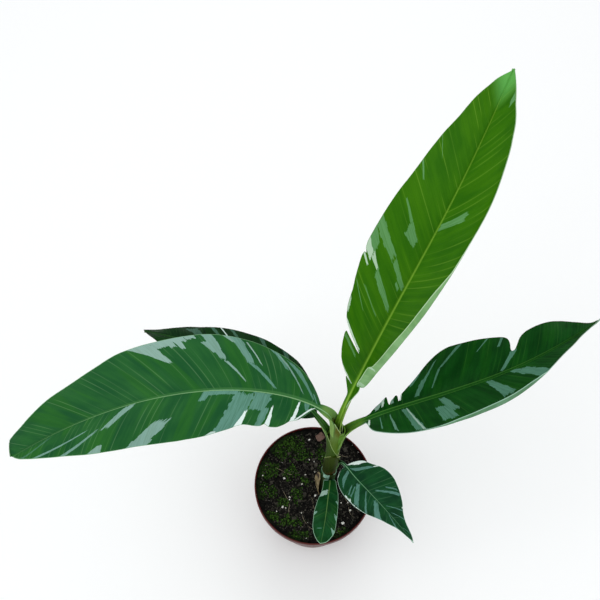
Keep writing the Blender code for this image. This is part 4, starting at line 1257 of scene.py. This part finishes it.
# The lowest leaf is the oldest, short and narrow, and hangs down the front of the trunk. It is
# dark green with a few pale sectors, and has hardly any petiole.
leaf_low = dict(
    root=138, offset=7.8, rows=100, gap=0.1,
    rib=((0, 172, 90), (11, 178, 74), (20, 187, 26), (37, 188, 1), (55, 190, -18), (76, 195, -35)),
    petiole=9, girth=(4.0, 3.4, 2.6, 2.4), keel=(0.9, 1.4, 1.8, 1.6, 1.2, 0.9), bank=(0, 0),
    sweep=(-12, 12, 28, 38, 45, 52), ripple=(0.5, 3.0), flutter=0.4, pleat=0.07, vein_step=3.0, groove=0.3,
    strand=0.8,
    right=dict(
        reach=(2.2, 7, 9, 11, 12, 11, 8.5, 5, 0), fold=(10, 8, 6), sag=(-14, -20, -16), curl=(0, 0),
        margin=(
            (9, 2.4), (11, 4.8), (14, 5.8), (18, 6.2), (23.8, 6.3), (27, 6.6), (30, 7.6), (33, 9.2),
            (36.3, 10), (42.5, 11.1), (51, 10.7), (58.6, 8.9), (64, 6.8), (69, 4.4), (73, 2.1), (76, 0.1),
        ),
        streaks=(
            (12, 12.5, 0.15, 1.6, 7, 8, 0.68), (28.5, 29.5, 0.0, 1.1, 4.2, 4.6, 0.7),
            (42.5, 43.5, 0.66, 1.2, 1, 4.5, 0.56), (60.5, 57.2, 0.2, 0.68, 0.6, 0.7, 0.45),
        ),
    ),
    left=dict(
        reach=(2.2, 9, 11, 12.5, 12.5, 11, 8.5, 5, 0), fold=(10, 8, 6), sag=(-14, -20, -16), curl=(0, 0),
        margin=(
            (9, 2.4), (11, 3.8), (14, 4.8), (18, 5.8), (22.2, 7), (27.2, 9.1), (35.5, 10.1), (43.5, 10.5),
            (53, 10.6), (61.5, 7.9), (68, 5), (73, 2.1), (76, 0.1),
        ),
        streaks=(
            (13, 14, 0.3, 1.1, 2, 4, 0.5), (21.5, 24, 0.72, 1.2, 2.0, 5, 0.6),
            (33, 35.5, 0.58, 1.2, 1, 5, 0.56), (43.5, 46, 0.58, 1.2, 1, 8, 0.54),
            (54.5, 57, 0.62, 1.2, 1, 5, 0.56),
        ),
    ),
)
LOW_GREEN = leaf_paint(
    green=(20, 76, 36), deep_green=(8, 54, 20), fresh_green=(26, 84, 28), grey=(100, 150, 130),
    white=(228, 242, 236), rib=(52, 106, 42), rib_line=(112, 142, 84), stalk=(40, 84, 26),
    margin=(150, 190, 162), rib_width=1.2, line_width=0.6, margin_width=0.4, line_strength=0.5,
)
LOW_UNDER = leaf_paint(
    LOW_GREEN, green=(90, 132, 96), deep_green=(72, 112, 76), fresh_green=(90, 132, 96),
    grey=(144, 178, 160), rib=(114, 148, 88), rib_line=(130, 160, 100), line_strength=0.4,
)
make_leaf("leaf_low", leaf_low, LOW_GREEN, LOW_UNDER, "leaf_low")


# The trunk is no stem but the leaves' own sheaths, rolled round each other. Each sheath wraps the
# younger ones, and its two edges part in a slanting mouth under its leaf's petiole.
SHEATH_SHEET = 0.45
SHEATH_FOOT = 86
SHEATH_COLUMNS, MOUTH_ROWS, ROW_STEP = 65, 40, 3.0
LAP_FROM, LAP_TURN, LAP_LIFT = 0.86, 0.22, 1.15
LINE_SPACING, LINE_HEIGHT = 1.9, 0.05
MOUTH_BELOW, PETIOLE_CLEAR = 6, 0.15


def core_radius(height):
    """The radius of the trunk under its outer sheaths, in millimetres."""
    return smooth_through(TRUNK_STATIONS, TRUNK_RADIUS, height)


def lay_sheath(leaf, layer, top, slant):
    """The sheath of a leaf, from the mix up to its mouth, whose highest point is at the petiole."""
    petiole_at = math.radians(leaf["rib"][0][1])
    facing = math.radians(leaf.get("faces", leaf["rib"][0][1]))
    along = np.linspace(0, leaf["petiole"], 80)
    stalk = rib_frames(leaf, rib_path(leaf), along)[0]
    axis = np.array([trunk_middle(height) for height in stalk[:, 2]])
    leans = np.hypot(*(stalk - axis).T[:2])
    mouth = top - slant - MOUTH_BELOW
    heights = np.concatenate([np.arange(SHEATH_FOOT, mouth, ROW_STEP), np.linspace(mouth, top, MOUTH_ROWS)])
    half_start = 0.8 * leaf["girth"][0] / leaf["offset"]
    points, depths, guides = [], [], []
    for height in heights:
        open_share = np.clip((top - height) / slant, 0, 1) ** 0.75
        half = half_start + (math.pi - half_start) * open_share
        rolled = float(core_radius(height)) + layer * SHEATH_SHEET
        near_root = soft_between(14, 0, leaf["root"] - height)
        turn = np.linspace(1, -1, SHEATH_COLUMNS) * half
        toward = soft_between(1.5, 0.5, np.abs(turn + facing - petiole_at)) * near_root
        lean = min(float(np.interp(height, stalk[:, 2], leans)), leaf["offset"] + leaf.get("gap", 1.2))
        radius = rolled + (lean + PETIOLE_CLEAR - rolled) * toward
        lapped = soft_between(LAP_FROM, 1.0, turn / math.pi)
        ridge = LINE_HEIGHT * np.sin(turn * radius * 2 * math.pi / LINE_SPACING) * (1 - toward)
        reach = radius + lapped * SHEATH_SHEET * LAP_LIFT + ridge
        bearing = facing + turn + LAP_TURN * lapped
        x, y, _ = trunk_middle(height)
        places = (x + reach * np.sin(bearing), y + reach * np.cos(bearing), np.full(len(turn), height))
        points.append(np.stack(places, 1))
        depths.append(SHEATH_SHEET + toward * 0.3)
        closed = (math.pi - np.abs(turn)) * rolled + 1.2 * (top - slant - height)
        edge = (half - np.abs(turn)) * rolled if open_share < 0.999 else closed
        guide = (np.full(len(turn), top - height), turn / math.pi, turn * radius, np.minimum(edge, 3.0))
        guides.append(np.stack(guide, 1))
    points, depths, guides = np.vstack(points), np.concatenate(depths), np.vstack(guides)
    return lay_sheet(len(heights), SHEATH_COLUMNS, points, depths, guides)


def sheath_material(name, top, low, patch, lip, patch_share, mark):
    """Fleshy sheath with fine lines up and down it, blotches and perhaps one mark at its mouth."""
    material, tree, shader = new_material(name)
    down, across, edge = (attribute(tree, guide) for guide in ("vein", "arc", "edge"))
    place = tree.nodes.new("ShaderNodeCombineXYZ")
    plug(place.inputs["X"], times(across, 1.1))
    plug(place.inputs["Y"], times(down, 0.07))
    lines = speckle(place.outputs["Vector"], 1.0, 4, 0.6)
    blotch = speckle(object_place(tree, (1, 1, 0.45)), 85, 3)
    # The colour goes from the top one to the low one down the sheath. All of the colours are made darker than
    # the flesh, as painted shade on the trunk's sides.
    body = blend(rising(down, 2.0, 46.0), colour(*top), colour(*low))
    body = blend(times(rising(lines, 0.46, 0.7), 0.4), body, colour(*low))
    body = blend(times(rising(blotch, 0.5, 0.62), patch_share), body, colour(*patch))
    if mark:
        first, last, reach, fade, shade = mark
        ragged = times_plus(lines, 4.0, down)
        side = times(rising(across, first, first + 0.5), falling(across, last, last + 0.5))
        body = blend(times(side, falling(ragged, reach, reach + fade)), body, colour(*shade))
    body = blend(falling(edge, 0.15, 0.5), body, colour(*lip))
    coat(shader, body, times_plus(lines, 0.2, 0.36), raised(lines, 0.4 * MM, 0.6), gloss=0.07)
    return material


# The sheaths' colours are their own greens and olives, painted darker as shade on the trunk's sides.
SHEATHS = (
    # leaf, layer from the middle, the mouth's top and slant, colours at the top and low down, of the
    # blotches and of the lip, the blotches' share, and a mark: its edges, reach, fade and colour
    ("sheath_low", leaf_low, 3, 158, 12, (28, 74, 32), (28, 32, 9), (52, 42, 18), (130, 170, 140), 0.5,
     (0.8, 7.0, 11.0, 1.5, (150, 190, 172))),
    ("sheath_small", leaf_small, 2, 210, 60, (46, 62, 4), (30, 42, 3), (62, 42, 10), (146, 160, 96), 0.75,
     None),
    ("sheath_back", leaf_back, 1, 246, 38, (56, 88, 10), (46, 70, 6), (38, 62, 6), (150, 176, 112), 0.5,
     None),
    ("sheath_right", leaf_right, 0, 262, 22, (84, 126, 34), (92, 132, 62), (70, 100, 18), (126, 160, 84),
     0.5, None),
    ("sheath_left", leaf_left, 0.3, 284, 30, (110, 144, 76), (78, 106, 26), (84, 88, 12), (164, 190, 130),
     0.75, (-16.5, -7.2, 16.0, 16.0, (82, 88, 10))),
)
for name, leaf, layer, top, slant, *looks in SHEATHS:
    piece = lay_sheath(leaf, layer, top, slant)
    clad(piece, sheath_material(name, *looks))
    finish_piece(piece, name, "sheath", "pseudostem")

# In the middle is the rolled heart of the plant, which shows only in the sheaths' mouths. It is
# pale yellow-green flesh, and runs up the trunk as one core.
HEART_SIDES, HEART_CLEAR = 48, 1.05
clear_selection()
bpy.ops.mesh.primitive_cylinder_add(vertices=HEART_SIDES, radius=1, depth=2, end_fill_type="TRIFAN")
heart = bpy.context.object
bpy.ops.object.mode_set(mode="EDIT")
bpy.ops.mesh.select_all(action="SELECT")
bpy.ops.mesh.bisect(plane_co=(0, 0, 0), plane_no=(0, 0, 1))
bpy.ops.object.mode_set(mode="OBJECT")
HEART_HEIGHTS = {-1: 66, 0: 160, 1: 262}
for vertex in heart.data.vertices:
    height = HEART_HEIGHTS[round(vertex.co.z)]
    around = (float(core_radius(height)) - HEART_CLEAR) * vertex.co.xy
    middle = trunk_middle(height)
    vertex.co = (middle[0] * MM + around.x * MM, middle[1] * MM + around.y * MM, height * MM)
bpy.ops.object.shade_smooth_by_angle(angle=math.radians(40))
flesh, tree, shader = new_material("heart of the trunk")
lines = speckle(object_place(tree, (1, 1, 0.06)), 900, 3)
coat(shader, blend(lines, colour(118, 146, 64), colour(160, 176, 104)), 0.5)
clad(heart, flesh)
finish_piece(heart, "trunk_heart", "sheath", "pseudostem")


# A strip of the oldest sheath has dried to brown paper and stands against the trunk's foot, its
# edges curled outwards and its top torn.
STRIP_FOOT, STRIP_LENGTH, STRIP_SHEET = 91.5, 54, 0.4
STRIP_BEARING, STRIP_HALF_WIDTH = -104, 42
SHEATHS_DEPTH, STRIP_GAP = 1.8, 0.75
rows, columns = 44, 26
points, depths, guides = [], [], []
for j in range(rows):
    share = j / (rows - 1)
    for i in range(columns):
        turn = 2 * i / (columns - 1) - 1
        top = STRIP_LENGTH + 3.0 * noise.noise(Vector((turn * 4.0, 1.3, 0.0))) - 7 * abs(turn) ** 3
        height = STRIP_FOOT + top * share
        middle = trunk_middle(height)
        bearing = math.radians(STRIP_BEARING + STRIP_HALF_WIDTH * turn * (1 - 0.45 * share))
        flare = 3.2 * turn * turn * (0.4 + 0.6 * math.sin(math.pi * share))
        crease = 0.35 * noise.noise(Vector((turn * 5.0, share * 3.0, 2.0)))
        crease += 0.18 * math.sin(turn * 19 + share * 2)
        radius = core_radius(height) + SHEATHS_DEPTH + STRIP_GAP + flare + crease
        x, y = middle[0] + radius * math.sin(bearing), middle[1] + radius * math.cos(bearing)
        points.append((x, y, height))
        depths.append(STRIP_SHEET)
        guides.append((height, turn, turn * 6, min(1 - abs(turn), 2 * (1 - share)) * 6))
strip = lay_sheet(rows, columns, np.array(points), np.array(depths), np.array(guides))
husk, tree, shader = new_material("dried sheath")
fibres = speckle(object_place(tree, (1, 1, 0.1)), 1100, 4, 0.6)
stain = speckle(object_place(tree, (1, 1, 0.5)), 130, 3)
tan = blend(rising(fibres, 0.35, 0.7), colour(104, 86, 54), colour(186, 168, 126))
coat(shader, blend(rising(stain, 0.52, 0.7), tan, colour(52, 36, 22)), 0.82, raised(fibres, 0.5 * MM))
clad(strip, husk)
finish_piece(strip, "dried_sheath_strip", "dried_sheath", "dry_sheath")


# A pale floor, soft light from all round with a large lamp above the viewer's left, and a camera
# that looks down steeply on the plant, as the photograph does.
clear_selection()
bpy.ops.mesh.primitive_plane_add(size=14, location=(0, 0, 0))
floor = bpy.context.object
floor.name = "studio_floor"
paper, tree, shader = new_material("pale studio floor")
coat(shader, (0.97, 0.97, 0.97, 1), 0.9, gloss=0.1)
floor.data.materials.append(paper)

sky = bpy.data.worlds.new("soft studio light")
sky.use_nodes = True
sky.node_tree.nodes["Background"].inputs["Color"].default_value = (0.97, 0.99, 1.0, 1)
sky.node_tree.nodes["Background"].inputs["Strength"].default_value = 0.8
bpy.context.scene.world = sky

PLANT_MIDDLE = Vector((0, 0, 0.22))
for name, place, size, power in (
    ("key", (-0.8, -0.4, 1.9), 1.3, 9), ("fill", (1.3, -0.7, 1.3), 1.5, 3), ("back", (0.1, 1.5, 1.4), 1.3, 4),
):
    lamp = bpy.data.lights.new(name + " softbox", "AREA")
    lamp.size = size
    lamp.energy = power
    stand = bpy.data.objects.new(name + " softbox", lamp)
    stand.location = place
    stand.rotation_euler = (PLANT_MIDDLE - Vector(place)).to_track_quat("-Z", "Y").to_euler()
    bpy.context.scene.collection.objects.link(stand)

lens = bpy.data.cameras.new("camera")
lens.sensor_width = 36
lens.lens = 42
lens.clip_start = 0.05
camera = bpy.data.objects.new("camera", lens)
camera.location = (-13.78 * MM, -193.93 * MM, 812.25 * MM)
camera.rotation_euler = (math.radians(30), 0, 0)
bpy.context.scene.collection.objects.link(camera)
bpy.context.scene.camera = camera
bpy.context.scene.view_settings.view_transform = "Standard"

clear_selection()
